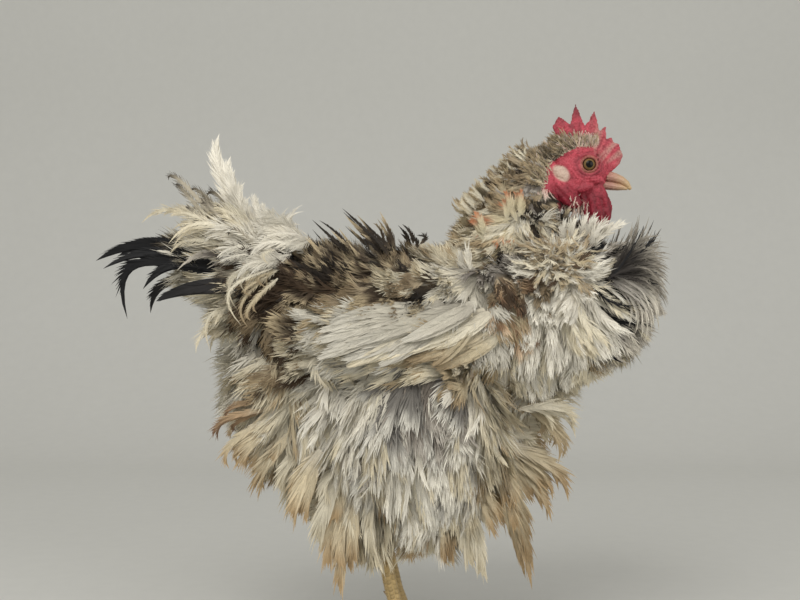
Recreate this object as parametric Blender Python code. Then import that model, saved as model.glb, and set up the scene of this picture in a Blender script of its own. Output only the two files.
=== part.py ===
"""A life-size frizzle cockerel, standing: one named solid for each part of the bird.

Metres, +Z up, +X towards the bill, the bird's right side at -Y. The origin is on the floor,
under the middle of the bird. Tables are in millimetres and are scaled by MM as they are read.
"""

import math

import bmesh
import bpy
import numpy as np

MM = 0.001
GAP = 0.45               # clearance between neighbouring solids, in millimetres
RIGHT, LEFT = -1, 1      # the side of the bird, as the sign of Y
SIDES = (("right", RIGHT), ("left", LEFT))

# Lofts. Each row is the middle of a section and its three half sizes: x, y, z, across, then
# above and below in a loft that runs towards the bill, behind and before in one that runs up,
# before and behind in one that runs down. Paired parts are written for the left side.
HEAD = (
    (122.5, 0, 352, 5.5, 7, 8),
    (127, 0, 351.5, 10.5, 13, 17),
    (135, 0, 351, 13.8, 17.5, 23),
    (145, 0, 352, 15.2, 19, 22),
    (153, 0, 352, 14, 17.5, 18.5),
    (159, 0, 350, 10.4, 13, 13.5),
    (163.5, 0, 348, 6.6, 8.5, 8.5),
    (166, 0, 346.5, 3.4, 4.2, 4.4),
)
BEAK_UPPER = (
    (157, 0, 347.6, 5.4, 4.4, 3.4),
    (164, 0, 347.5, 5.6, 4.4, 3.5),
    (170, 0, 346.6, 4.8, 3.9, 3.1),
    (176, 0, 344.6, 3.7, 3.3, 2.7),
    (181, 0, 341.2, 2.2, 2.2, 2.2),
    (183.4, 0, 338.2, 0.9, 1.0, 1.0),
)
BEAK_LOWER = (
    (157, 0, 341.0, 5.0, 2.8, 3.0),
    (166, 0, 340.6, 4.7, 2.9, 3.1),
    (173, 0, 339.2, 3.7, 2.5, 2.6),
    (178, 0, 337.8, 2.5, 1.7, 1.7),
    (180.8, 0, 337.0, 1.1, 0.7, 0.8),
)
NECK = (
    (64, 0, 266, 58, 32, 42),
    (82, 0, 288, 54, 38, 46),
    (99, 0, 314, 43, 36, 41),
    (112, 0, 335, 31, 34, 33),
    (120, 0, 348, 22, 30, 25),
    (126, 0, 357, 12, 20, 13),
)
TRUNK = (
    (-101, 0, 262, 18, 18, 22),
    (-86, 0, 259, 44, 40, 46),
    (-50, 0, 251, 62, 50, 62),
    (0, 0, 244, 74, 57, 70),
    (50, 0, 241, 78, 62, 74),
    (100, 0, 240, 72, 62, 72),
    (138, 0, 242, 52, 50, 52),
    (156, 0, 244, 24, 26, 28),
)
BREAST = (
    (66, 0, 252, 62, 40, 44),
    (92, 0, 254, 76, 52, 62),
    (124, 0, 256, 78, 52, 64),
    (154, 0, 257, 69, 47, 58),
    (178, 0, 257, 53, 38, 46),
    (192, 0, 257, 35, 27, 32),
    (199, 0, 257, 16, 13, 15),
)
WING = (
    (-64, 62, 227, 5, 12, 10),
    (-48, 69, 229, 9, 21, 19),
    (-20, 75, 234, 12, 31, 29),
    (15, 77, 241, 13, 37, 37),
    (55, 76, 248, 14, 36, 40),
    (91, 69, 252, 13, 27, 30),
    (106, 60, 253, 8, 13, 13),
)
THIGH = (
    (24, 64, 226, 14, 34, 36),
    (26, 62, 206, 24, 56, 60),
    (28, 58, 172, 30, 70, 74),
    (26, 54, 138, 29, 64, 66),
    (20, 46, 112, 23, 46, 46),
    (14, 41, 98, 14, 24, 28),
)
BELLY = (
    (-8, 0, 248, 30, 20, 112),
    (-8, 0, 224, 48, 84, 124),
    (-8, 0, 194, 62, 130, 124),
    (-6, 0, 164, 66, 126, 116),
    (-2, 0, 132, 56, 106, 90),
    (2, 0, 106, 30, 60, 50),
)
TAIL = (
    (-170, 0, 304, 8, 12, 12),
    (-158, 0, 299, 18, 27, 24),
    (-138, 0, 290, 27, 40, 33),
    (-112, 0, 279, 35, 47, 41),
    (-84, 0, 267, 40, 46, 45),
    (-60, 0, 258, 34, 32, 36),
)
SHANK = (
    (-14, 38, 118, 8.0, 8.5, 8.5),
    (-11, 37, 101, 7.0, 7.5, 8.0),
    (-6, 35, 90, 5.0, 5.6, 5.8),
    (2, 33, 56, 4.6, 5.0, 5.2),
    (9, 31, 26, 4.8, 5.4, 5.2),
    (12, 30, 15, 6.0, 6.8, 6.4),
)
FOOT_PAD = (
    (12.4, 30, 13, 6.4, 7.4, 6.8),
    (14, 30, 8, 7.6, 9.0, 8.0),
    (15, 30, 3, 7.6, 9.0, 8.0),
    (15, 30, -1, 6.2, 7.6, 6.6),
)
WATTLE = (
    (154, 7.2, 343, 1.8, 5.0, 4.0),
    (156, 8.0, 336, 2.4, 7.6, 6.4),
    (158, 9.0, 326, 2.6, 9.6, 8.2),
    (160, 9.6, 316, 2.4, 8.6, 7.4),
    (161, 9.8, 309.5, 1.4, 3.6, 3.4),
)

EYE_CENTRE = (150.2, 9.7, 355.2)
EYE_RADIUS = 6.4
EARLOBE_CENTRE = (132.2, 13.4, 348.4)
EARLOBE_RADII = (5.0, 2.5, 7.2)

# The comb's edge, from its back to the front: the angle above +X in degrees and the distance
# from COMB_CENTRE. Peaks and the valleys between them take turns.
COMB_CENTRE = (149.25, 346.5)
COMB_EDGE = (
    (127, 33), (122, 46), (113, 50.5), (105.5, 41), (101, 49), (97.5, 55.5), (90, 38.5),
    (82, 51), (73, 36.5), (68, 42.4), (62, 32.6), (57, 36.8), (51, 34.2), (46, 36),
    (31, 33.4), (22, 28), (13, 20.5),
)
COMB_ROOT = 17.0         # distance of the buried root from COMB_CENTRE
COMB_ROOT_HALF = 3.4     # half thickness at the root
COMB_EDGE_HALF = 0.7     # half thickness along the edge

# Toes: name, length, heading in degrees outwards from straight ahead, thickness at the root
TOES = (
    ("middle", 58, 3, 4.6),
    ("inner", 41, -26, 4.2),
    ("outer", 45, 38, 4.2),
    ("hind", 24, 180, 3.8),
)
FOOT = (15, 30)          # the foot's middle on the floor
CLAW_LENGTH = 9.0
CLAW_RADIUS = 2.1
SPUR_LENGTH = 7.0

# Locks: long feathers and tips that make the outline. base, tip, sag of the curve (x, y, z),
# half width and half thickness, in millimetres
TAIL_FEATHERS = (
    ((-118, 12, 276), (-214.5, 15, 283), (0, 4, 26), 11.2, 2.9),
    ((-112, -10, 272), (-203, -14, 271), (0, -5, 24), 10.6, 2.9),
    ((-104, -17, 262), (-190, -13, 241), (-26, -4, 22), 11.9, 3.1),
    ((-106, 18, 258), (-182, 16, 244), (-22, 4, 18), 11.2, 3.1),
    ((-104, -4, 298), (-123, -6, 379), (3, 0, 0), 7.5, 3.2),
    ((-128, -12, 306), (-160, -17, 344), (6, -3, 10), 8.1, 3.2),
    ((-120, 14, 304), (-150, 22, 338), (6, 4, 10), 8.1, 3.2),
    ((-140, 2, 300), (-184, 3, 315), (0, 0, 12), 8.8, 3.2),
    ((-84, -8, 300), (-90, -12, 333), (10, 0, 4), 8.8, 3.6),
    ((-80, 12, 298), (-84, 16, 326), (8, 0, 4), 8.8, 3.6),
    ((-70, -4, 290), (-66, -5, 327), (-10, 0, 2), 5.6, 2.9),
    ((-108, -24, 246), (-139, -28, 214), (-14, -6, 6), 10.0, 3.2),
    ((-104, 24, 244), (-136, 28, 212), (-14, 6, 6), 10.0, 3.2),
)
BREAST_TIPS = (
    # height angle and reach of the ruff's points in the middle plane
    (60, 72), (42, 78), (22, 72), (3, 65.6), (-17, 69), (-38, 74), (-60, 72),
)
BREAST_HUB = (148.9, 0, 252)
BELLY_TIPS = (
    # the long tips that hang behind and before the skirt
    ((-96, 30, 152), (-121, 40, 150), (-2, 2, -14), 10.0, 3.4),
    ((-92, -28, 146), (-112, -38, 131), (-4, -2, -8), 10.0, 3.4),
    ((-66, -18, 130), (-87, -26, 117), (-8, -3, -6), 10.0, 3.4),
    ((-50, 16, 124), (-66, 20, 97), (-10, 3, -4), 10.0, 3.4),
    ((92, -9, 156), (137, -13, 161), (8, 0, -12), 8.5, 3.4),
    ((92, 10, 140), (119, 14, 150), (8, 2, -10), 8.5, 3.4),
    ((86, -8, 132), (134, -12, 107), (9, 0, 6), 8.5, 3.4),
    ((66, 9, 122), (108, 12, 41), (16, 2, 8), 10.0, 3.4),
    ((70, -9, 120), (98, -13, 70), (12, -2, 6), 10.0, 3.4),
)
THIGH_TIPS = (
    ((-18, 54, 126), (-64, 64, 97), (-10, 4, -2), 10.5, 3.6),
    ((-8, 52, 116), (-42, 60, 74), (-8, 4, 0), 11.2, 3.6),
    ((2, 50, 110), (-31, 56, 46), (-10, 3, 2), 11.2, 3.6),
    ((14, 56, 112), (-3, 62, 77), (-6, 3, 2), 10.5, 3.6),
    ((28, 52, 110), (20, 57, 82), (-3, 3, 0), 10.5, 3.6),
    ((40, 54, 112), (37, 60, 86), (-2, 3, 0), 10.5, 3.6),
    ((54, 52, 116), (70, 58, 56), (6, 3, 4), 11.2, 3.6),
    ((66, 52, 130), (92, 60, 92), (6, 3, 4), 10.5, 3.6),
)
WING_TIPS = (
    # the ends of the flight feathers, stepped one above the other
    ((-36, 71, 238), (-76, 66, 243), (0, 2, 3), 6.0, 1.8),
    ((-38, 71, 229), (-87, 64, 231), (0, 2, 2), 6.5, 1.8),
    ((-36, 71, 219), (-79, 65, 217), (0, 2, -2), 6.5, 1.8),
    ((-20, 76, 211), (-55, 72, 201), (0, 2, -2), 6.5, 1.8),
)


def clear_scene():
    for obj in list(bpy.data.objects):
        bpy.data.objects.remove(obj)


def material(name, colour, roughness):
    made = bpy.data.materials.new(name)
    made.use_nodes = True
    shader = made.node_tree.nodes["Principled BSDF"]
    shader.inputs["Base Color"].default_value = (*colour, 1)
    shader.inputs["Roughness"].default_value = roughness
    return made


def eased_rows(rows, count):
    """The rows of a loft table, smoothly interpolated to count rows along its length."""
    rows = np.array(rows, float)
    step = np.linalg.norm(np.diff(rows[:, :3], axis=0), axis=1)
    at = np.concatenate([[0], np.cumsum(step)])
    slope = np.gradient(rows, at, axis=0)
    found = []
    for s in np.linspace(0, at[-1], count):
        k = min(np.searchsorted(at, s, side="right") - 1, len(at) - 2)
        h = at[k + 1] - at[k]
        t = (s - at[k]) / h
        found.append(
            rows[k] * (2 * t**3 - 3 * t**2 + 1)
            + slope[k] * h * (t**3 - 2 * t**2 + t)
            + rows[k + 1] * (3 * t**2 - 2 * t**3)
            + slope[k + 1] * h * (t**3 - t**2)
        )
    return np.array(found)


def ring_faces(rings, around):
    """Faces of a tube of rings, closed by one point before the first ring and one after."""
    first, last, end = rings * around, rings * around + 1, (rings - 1) * around
    faces = []
    for i in range(rings - 1):
        for j in range(around):
            k = (j + 1) % around
            a, b = i * around, (i + 1) * around
            faces.append((a + j, a + k, b + k, b + j))
    for j in range(around):
        k = (j + 1) % around
        faces.append((first, k, j))
        faces.append((last, end + j, end + k))
    return faces


def loft(table, side=LEFT, rings=12, around=20, squareness=2.2, shag=0.0, grow=0.0):
    """The points and faces of a closed body through the sections of a table.

    shag is how far every other point stands out, which gives a body the tufts of its coat.
    """
    rows = eased_rows(table, rings)
    rows[:, 1] *= side
    rows[:, 3:] = np.maximum(rows[:, 3:], 0.5) + grow
    ahead = np.gradient(rows[:, :3], axis=0)
    ahead /= np.linalg.norm(ahead, axis=1)[:, None]
    across = np.array([0.0, 1.0, 0.0])
    points = []
    for i, (row, way) in enumerate(zip(rows, ahead)):
        above = np.cross(way, across)
        above /= np.linalg.norm(above)
        for j in range(around):
            angle = 2 * math.pi * j / around
            c, s = math.cos(angle), math.sin(angle)
            c = math.copysign(abs(c) ** (2 / squareness), c)
            s = math.copysign(abs(s) ** (2 / squareness), s)
            tuft = shag * (((i + j) % 2) - 0.5) if 0 < i < rings - 1 else 0.0
            wide, high = row[3] + tuft, row[4 if s > 0 else 5] + tuft
            points.append(row[:3] + across * wide * c + above * high * s)
    for row, way, sign in ((rows[0], ahead[0], -1), (rows[-1], ahead[-1], 1)):
        points.append(row[:3] + way * sign * (0.35 * min(row[3], row[4]) + grow))
    return np.array(points), ring_faces(rings, around)


def locks(rows, steps=3, grow=0.0):
    """Curved, flattened, pointed locks, each a closed shape of its own.

    A row is the base, the tip, the sag of the curve, the half width and the half thickness.
    """
    sides = 3
    shapes = []
    for base, tip, sag, half_width, half_thick in rows:
        base, tip, sag = (np.array(v, float) for v in (base, tip, sag))
        points = []
        for i in range(steps):
            t = i / steps
            middle = base + (tip - base) * t + sag * 4 * t * (1 - t)
            ahead = (tip - base) + sag * 4 * (1 - 2 * t)
            ahead /= np.linalg.norm(ahead)
            flat = np.array([0.0, 1.0, 0.0]) - ahead * ahead[1]
            flat = flat / np.linalg.norm(flat) if np.linalg.norm(flat) > 0.2 else ahead[[1, 0, 2]]
            wide = np.cross(flat, ahead)
            swell = (0.62 + 0.38 * math.sin(math.pi * min(1.0, t * 1.5))) * (1 - t**3)
            thick = half_thick * (1 - 0.6 * t)
            for j in range(sides):
                angle = 2 * math.pi * j / sides + math.pi / 2
                points.append(
                    middle
                    + wide * math.cos(angle) * (half_width * swell + 4 * grow)
                    + flat * math.sin(angle) * (thick + 2 * grow)
                )
        points.append(base - (tip - base) * 0.05 - ahead * grow)
        points.append(tip + ahead * 3 * grow)
        shapes.append((np.array(points), ring_faces(steps, sides)))
    return shapes


def ellipsoid(centre, radii, segments=12, rings=7, grow=0.0):
    """An eye or an earlobe, with its poles along Y."""
    radii = np.array(radii) + grow
    points = []
    for i in range(1, rings):
        lean = math.pi * i / rings
        for j in range(segments):
            turn = 2 * math.pi * j / segments
            way = (math.sin(lean) * math.cos(turn), math.cos(lean), math.sin(lean) * math.sin(turn))
            points.append(np.array(centre) + radii * way)
    points.append(np.array(centre) + radii * (0, 1, 0))
    points.append(np.array(centre) - radii * (0, 1, 0))
    return np.array(points), ring_faces(rings - 1, segments)


def comb_shape(grow=0.0):
    """The single comb: a blade whose edge rises in points and folds down towards the bill."""
    levels = (0.0, 0.5, 1.0)
    count = len(COMB_EDGE)
    points = []
    for side in (RIGHT, LEFT):
        for level in levels:
            for angle, reach in COMB_EDGE:
                turn = math.radians(angle)
                r = COMB_ROOT - grow + (reach - COMB_ROOT + 2 * grow) * level
                half = COMB_ROOT_HALF + (COMB_EDGE_HALF - COMB_ROOT_HALF) * level + grow
                x = COMB_CENTRE[0] + r * math.cos(turn)
                z = COMB_CENTRE[1] + r * math.sin(turn)
                points.append((x, side * half, z))
    per_side = count * len(levels)
    faces = []
    for level in range(len(levels) - 1):
        for k in range(count - 1):
            a = level * count + k
            face = (a, a + 1, a + 1 + count, a + count)
            faces += [face, tuple(per_side + v for v in reversed(face))]
        for end in (0, count - 1):
            a, b = level * count + end, (level + 1) * count + end
            faces.append((a, b, per_side + b, per_side + a))
    top = (len(levels) - 1) * count
    for k in range(count - 1):
        faces.append((top + k, top + k + 1, per_side + top + k + 1, per_side + top + k))
        faces.append((k + 1, k, per_side + k, per_side + k + 1))
    return np.array(points), faces


def toe_shape(length, heading, thick, side, grow=0.0):
    """One toe lying on the floor, with swelling pads, from the foot's middle outwards."""
    turn = math.radians(heading)
    out = np.array([math.cos(turn), side * math.sin(turn), 0.0])
    across = np.array([-out[1], out[0], 0.0])
    up = np.array([0.0, 0.0, 1.0])
    start = np.array([FOOT[0], side * FOOT[1], 0.0])
    rings, around = 5, 6
    points = []
    for i in range(rings):
        t = i / (rings - 1)
        pad = 1 + 0.08 * math.cos(2 * math.pi * (2.5 * t + 0.1))
        half = thick * (1 - 0.42 * t) * pad
        middle = start + out * (4 + (length - 4) * t) + up * 0.86 * half
        for j in range(around):
            angle = 2 * math.pi * (j + 0.5) / around
            side_way = across * math.cos(angle) + up * math.sin(angle)
            points.append(middle + side_way * (half + grow))
    points.append(start + out * 3 + up * thick * 0.6)
    points.append(start + out * (length + 1.5 + grow) + up * thick * 0.4)
    return clip_to_floor((np.array(points), ring_faces(rings, around)), grow)


def clip_to_floor(shape, grow):
    """Presses flat whatever would reach below the floor."""
    points, faces = shape
    points[:, 2] = np.maximum(points[:, 2], -grow)
    return points, faces


def claw_shape(base, out, length, radius, droop, grow=0.0):
    """A curved, pointed claw or spur that starts inside the toe or shank."""
    out = np.array(out, float) / np.linalg.norm(out)
    across = np.cross((0, 0, 1), out)
    across /= np.linalg.norm(across)
    up = np.cross(out, across)
    rings, around = 4, 4
    points = []
    for i in range(rings):
        t = i / (rings - 1)
        half = radius * (1 - t) ** 0.7 + 0.35 + grow
        middle = np.array(base) + out * length * t - np.array([0, 0, droop * length * t * t])
        for j in range(around):
            angle = 2 * math.pi * (j + 0.5) / around
            points.append(middle + (across * 0.8 * math.cos(angle) + up * math.sin(angle)) * half)
    points.append(np.array(base) - out * (0.6 + grow))
    points.append(middle + out * (0.6 + grow))
    return np.array(points), ring_faces(rings, around)


def new_object(name, shape, finish):
    points, faces = shape
    mesh = bpy.data.meshes.new(name)
    mesh.from_pydata([tuple(p) for p in points * MM], [], faces)
    work = bmesh.new()
    work.from_mesh(mesh)
    bmesh.ops.triangulate(work, faces=work.faces)
    bmesh.ops.recalc_face_normals(work, faces=work.faces)
    work.to_mesh(mesh)
    work.free()
    mesh.materials.append(finish)
    mesh.shade_smooth()
    obj = bpy.data.objects.new(name, mesh)
    bpy.context.scene.collection.objects.link(obj)
    return obj


def find_islands(work):
    left, islands = set(work.verts), []
    while left:
        stack = [left.pop()]
        island = set(stack)
        while stack:
            for edge in stack.pop().link_edges:
                for vert in edge.verts:
                    if vert in left:
                        left.discard(vert)
                        island.add(vert)
                        stack.append(vert)
        islands.append(island)
    return islands


def room_taken(island):
    at = np.array([vert.co for vert in island])
    return np.prod(at.max(axis=0) - at.min(axis=0))


def settle(obj):
    """Makes the evaluated shape the object's own mesh, and keeps only its largest piece."""
    graph = bpy.context.evaluated_depsgraph_get()
    mesh = bpy.data.meshes.new_from_object(obj.evaluated_get(graph))
    obj.modifiers.clear()
    obj.data = mesh
    work = bmesh.new()
    work.from_mesh(mesh)
    bmesh.ops.remove_doubles(work, verts=work.verts, dist=1e-6)
    bmesh.ops.triangulate(work, faces=work.faces)
    for island in sorted(find_islands(work), key=room_taken)[:-1]:
        bmesh.ops.delete(work, geom=list(island), context="VERTS")
    work.to_mesh(mesh)
    work.free()


def combine(obj, other, operation):
    step = obj.modifiers.new(operation.lower(), "BOOLEAN")
    step.operation = operation
    step.object = other
    settle(obj)


def united(name, shapes, finish):
    """One body from a mass and the locks that grow out of it."""
    obj = new_object(name, shapes[0], finish)
    for shape in shapes[1:]:
        lock = new_object(name + "_lock", shape, finish)
        combine(obj, lock, "UNION")
        bpy.data.objects.remove(lock)
    return obj


def part(name, finish, shapes):
    """A solid, and the hidden, slightly larger copy that keeps its neighbours clear of it."""
    solid = united(name, shapes(0.0), finish)
    cutter = united(name + "_cutter", shapes(GAP), finish)
    cutter.hide_render = True
    cutter.display_type = "WIRE"
    return solid, cutter


def trim(obj, cutters):
    for cutter in cutters:
        combine(obj, cutter, "DIFFERENCE")


def on_side(rows, side):
    """Lock rows written for the left side, put on the side asked for."""
    flip = np.array([1, side, 1])
    return [(*(np.array(v) * flip for v in row[:3]), *row[3:]) for row in rows]


def breast_locks():
    """The points of the breast ruff, fanned forward over its width."""
    rows = []
    hub = np.array(BREAST_HUB, float)
    for k, (angle, reach) in enumerate(BREAST_TIPS):
        rise = math.radians(angle)
        turns = (0, 40, -40) if k % 2 == 0 else (15, -15, 62, -62)
        for turn in (math.radians(t) for t in turns):
            level = math.cos(rise)
            way = np.array([level * math.cos(turn), level * math.sin(turn), math.sin(rise)])
            sag = (0, 0, 4 * level)
            rows.append((hub + way * reach * 0.5, hub + way * reach, sag, 10.5, 3.6))
    return rows


def back_locks():
    """The curled feathers that stand along the back, leaning towards the tail."""
    rows = []
    for line, y in enumerate((-30, -10, 10, 30)):
        for k in range(4):
            x = 20 - 22 * k - 11 * (line % 2)
            z = 294 - 0.008 * y * y
            tip = (x - 18, y * 1.2, z + 22 + 4 * ((k + line) % 2))
            rows.append(((x, y, z - 8), tip, (7, 0, 1), 9.0, 4.4))
    return rows


def nape_locks():
    """Curled hackle tips behind the head and down the back of the neck."""
    rows = []
    for line, turn in enumerate(math.radians(t) for t in (0, 38, -38)):
        for k in range(4):
            t = k / 3
            x, z, radius = 117 - 38 * t, 341 - 42 * t, 29 + 12 * t
            back = np.array([-0.72 * math.cos(turn), math.sin(turn), 0.69 * math.cos(turn)])
            middle = np.array([x, 0, z])
            lift = np.array([-4, 0, 5 + 2 * (line % 2)])
            base, tip = middle + back * (radius - 9), middle + back * (radius + 4) + lift
            rows.append((base, tip, (0, 0, -2), 7.5, 3.6))
    return rows


def hem_locks(table):
    """Points along the lower edge of a thigh's hanging feathers, for the left side."""
    rows = []
    x, y, z, half, front, back = eased_rows(table, 9)[5]
    for k in range(6):
        turn = math.pi * k / 5
        reach = front if math.cos(turn) > 0 else back
        px, py = x + reach * 0.84 * math.cos(turn), y + half * 0.86 * math.sin(turn)
        tip = (px + 14 * math.cos(turn), py + 5, z - 26 - 7 * (k * 3 % 4))
        rows.append(((px, py, z + 6), tip, (2 * math.cos(turn), 2, 0), 11.0, 4.0))
    return rows


def build():
    red = material("comb_skin", (0.55, 0.03, 0.05), 0.5)
    lobe_skin = material("earlobe_skin", (0.75, 0.55, 0.48), 0.5)
    horn = material("horn", (0.62, 0.48, 0.30), 0.4)
    iris = material("eye", (0.28, 0.12, 0.02), 0.1)
    hackle = material("hackle", (0.32, 0.24, 0.13), 0.8)
    pale = material("pale_feather", (0.62, 0.58, 0.50), 0.8)
    dark = material("dark_feather", (0.10, 0.075, 0.05), 0.8)
    scaled = material("leg_scales", (0.60, 0.46, 0.26), 0.5)

    head_cutter, face_cutters = head_parts(red, lobe_skin, horn, iris)
    _, trunk_cutter = part("trunk", dark, lambda g: [
        loft(TRUNK, rings=9, around=16, shag=5, grow=g), *locks(back_locks(), grow=g)])
    breast, breast_cutter = part("breast", pale, lambda g: [
        loft(BREAST, rings=9, around=16, shag=5, grow=g), *locks(breast_locks(), grow=g)])
    trim(breast, [*face_cutters, trunk_cutter])

    neck, _ = part("neck", hackle, lambda g: [
        loft(NECK, rings=8, around=14, shag=3.5, grow=g), *locks(nape_locks(), grow=g)])
    trim(neck, [head_cutter, *face_cutters, breast_cutter, trunk_cutter])

    tail, tail_cutter = part("tail", pale, lambda g: [
        loft(TAIL, rings=7, around=12, shag=6, grow=g), *locks(TAIL_FEATHERS, steps=5, grow=g)])
    trim(tail, [trunk_cutter])

    wing_cutters = []
    for name, side in SIDES:
        wing, cutter = part("wing_" + name, pale, lambda g, side=side: [
            loft(WING, side, rings=8, around=10, shag=1.5, grow=g),
            *locks(on_side(WING_TIPS, side), grow=g)])
        trim(wing, [breast_cutter, trunk_cutter])
        wing_cutters.append(cutter)

    leg_cutters = []
    for (name, side), wing_cutter in zip(SIDES, wing_cutters):
        shank_cutter = leg(name, side, scaled, horn)
        thigh, cutter = part("thigh_" + name, pale, lambda g, side=side: [
            loft(THIGH, side, rings=8, around=12, shag=6, grow=g),
            *locks(on_side([*THIGH_TIPS, *hem_locks(THIGH)], side), grow=g)])
        trim(thigh, [trunk_cutter, breast_cutter, wing_cutter, shank_cutter])
        leg_cutters += [cutter, shank_cutter]

    belly, _ = part("belly", pale, lambda g: [
        loft(BELLY, rings=7, around=16, shag=7, grow=g), *locks(BELLY_TIPS, grow=g)])
    trim(belly, [trunk_cutter, breast_cutter, tail_cutter, *leg_cutters])


def head_parts(red, lobe_skin, horn, iris):
    """The head with its eyes, comb, earlobes, wattles and the two halves of the beak."""
    head, head_cutter = part("head", red, lambda g: [loft(HEAD, rings=9, around=14, grow=g)])
    comb, comb_cutter = part("comb", red, lambda g: [comb_shape(g)])
    upper, upper_cutter = part("beak_upper", horn, lambda g: [
        loft(BEAK_UPPER, rings=7, around=10, grow=g)])
    lower, lower_cutter = part("beak_lower", horn, lambda g: [
        loft(BEAK_LOWER, rings=5, around=10, grow=g)])
    trim(comb, [head_cutter])
    trim(upper, [head_cutter, comb_cutter])
    trim(lower, [head_cutter, upper_cutter])
    cutters = [comb_cutter]
    for name, side in SIDES:
        flip = np.array([1, side, 1])
        _, eye = part("eye_" + name, iris, lambda g, flip=flip: [
            ellipsoid(EYE_CENTRE * flip, (EYE_RADIUS,) * 3, 12, 6, g)])
        trim(head, [eye])
        lobe, lobe_cutter = part("earlobe_" + name, lobe_skin, lambda g, flip=flip: [
            ellipsoid(EARLOBE_CENTRE * flip, EARLOBE_RADII, 10, 6, g)])
        trim(lobe, [head_cutter])
        wattle, wattle_cutter = part("wattle_" + name, red, lambda g, side=side: [
            loft(WATTLE, side, rings=7, around=8, squareness=2, grow=g)])
        trim(wattle, [head_cutter, lower_cutter])
        cutters += [lobe_cutter, wattle_cutter]
    return head_cutter, cutters


def leg(name, side, scaled, horn):
    """The bare shank with its spur, and the foot of four toes with their claws."""
    shank, shank_cutter = part("shank_" + name, scaled, lambda g: [
        loft(SHANK, side, rings=7, around=8, squareness=2.1, grow=g)])
    inner = np.array([-0.55, -0.45 * side, 0.1])
    spur_base = np.array([3.5, (FOOT[1] - 3.0) * side, 40.0])
    _, spur = part("spur_" + name, horn, lambda g: [
        claw_shape(spur_base, inner, SPUR_LENGTH, 2.2, -0.2, g)])
    trim(shank, [spur])
    for toe, length, heading, thick in TOES:
        turn = math.radians(heading)
        out = np.array([math.cos(turn), side * math.sin(turn), 0.0])
        base = np.array([FOOT[0], side * FOOT[1], thick * 0.4 + 0.8]) + out * (length + 2.7)
        claw = claw_shape(base, out + np.array([0, 0, 0.12]), CLAW_LENGTH, CLAW_RADIUS, 0.2)
        new_object(f"claw_{toe}_{name}", claw, horn)
    foot, _ = part("foot_" + name, scaled, lambda g: [
        clip_to_floor(loft(FOOT_PAD, side, rings=3, around=8, grow=g), g),
        *(toe_shape(*row[1:], side, g) for row in TOES)])
    trim(foot, [shank_cutter])
    return shank_cutter


clear_scene()
build()
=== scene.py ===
"""Frizzle cockerel: one skin, separate solid-mesh feathers, horn, eyes and a plain stage."""
import math
from collections import namedtuple

import bpy
import bmesh
import numpy as np
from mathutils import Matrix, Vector
from mathutils import noise as relief
from mathutils.bvhtree import BVHTree
from mathutils.kdtree import KDTree


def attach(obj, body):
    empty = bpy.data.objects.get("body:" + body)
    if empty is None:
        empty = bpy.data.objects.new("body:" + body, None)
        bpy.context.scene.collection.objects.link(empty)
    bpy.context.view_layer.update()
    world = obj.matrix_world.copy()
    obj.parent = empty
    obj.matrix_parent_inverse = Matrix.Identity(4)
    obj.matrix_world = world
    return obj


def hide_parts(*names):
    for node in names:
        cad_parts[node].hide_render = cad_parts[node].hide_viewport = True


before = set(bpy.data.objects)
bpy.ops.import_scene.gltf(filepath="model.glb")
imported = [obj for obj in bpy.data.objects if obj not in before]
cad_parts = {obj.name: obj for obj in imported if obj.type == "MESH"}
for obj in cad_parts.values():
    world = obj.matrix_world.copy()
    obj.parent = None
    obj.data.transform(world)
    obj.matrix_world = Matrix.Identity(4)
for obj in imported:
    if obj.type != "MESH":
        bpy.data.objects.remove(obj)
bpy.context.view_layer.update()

bl_info = {
    "name": "Frizzle cockerel",
    "version": (1, 0, 0),
    "blender": (4, 5, 0),
    "location": "3D View > Sidebar > Cockerel",
    "description": "Skin, feathers, horn, eyes and stage of a life-size frizzle cockerel",
    "category": "Add Mesh",
}

MM = 0.001
SIDES = (("right", -1), ("left", 1))
TOES = ("hind", "inner", "middle", "outer")
CAMERA_PLACE = (0.0105, -0.9, 0.255)  # in metres
FOCAL_LENGTH, SENSOR_WIDTH = 54, 36  # in mm
WALL_START = 1.5  # the y, in metres, behind which the floor turns up into the wall

# Places on the bird, in mm. Each is given for the side with y above 0, and the other mirrors it.
EYE = (150.2, 9.7, 355.2)
BREAST_HUB = (119.0, 62.0, 283.0)
RUFF_HUB_Z = 271
EARLOBE = (129.4, 348.6)  # x and z
COMB_HUB = (149.25, 346.5)  # x and z of the point that the comb's spikes fan out from
FOOT_HUB = (15, 30)  # x and y of the place where the toes meet
FACE_BACK = 114  # x of the edge between the bare face and the neck's feathers

# The bare body's forms, in mm: x, y, z, half width, reach above, reach below, along each form.
# Above and below turn into behind and before where a form runs upwards.
TRUNK = ((-112, 0, 262, 6, 7, 7), (-88, 0, 258, 27, 26, 30), (-50, 0, 251, 45, 36, 46),
         (0, 0, 244, 56, 42, 54), (50, 0, 241, 60, 47, 58), (100, 0, 242, 55, 46, 54),
         (138, 0, 246, 36, 34, 36), (150, 0, 248, 14, 16, 16))
BREAST = ((60, 0, 250, 40, 30, 38), (92, 0, 254, 61, 42, 52), (124, 0, 256, 62, 42, 54),
          (154, 0, 257, 53, 37, 45), (173, 0, 257, 37, 28, 32), (183, 0, 257, 13, 12, 13))
NECK = ((70, 0, 262, 46, 24, 32), (86, 0, 288, 41, 27, 35), (101, 0, 314, 32, 26, 30),
        (113, 0, 335, 22, 24, 22), (121, 0, 348, 15, 19, 15), (128, 0, 355, 9, 10, 9))
TAIL_STUMP = ((-60, 0, 257, 27, 25, 28), (-84, 0, 266, 28, 27, 28), (-108, 0, 275, 21, 23, 22),
              (-128, 0, 283, 13, 15, 13), (-139, 0, 287, 4, 4, 4))
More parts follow.
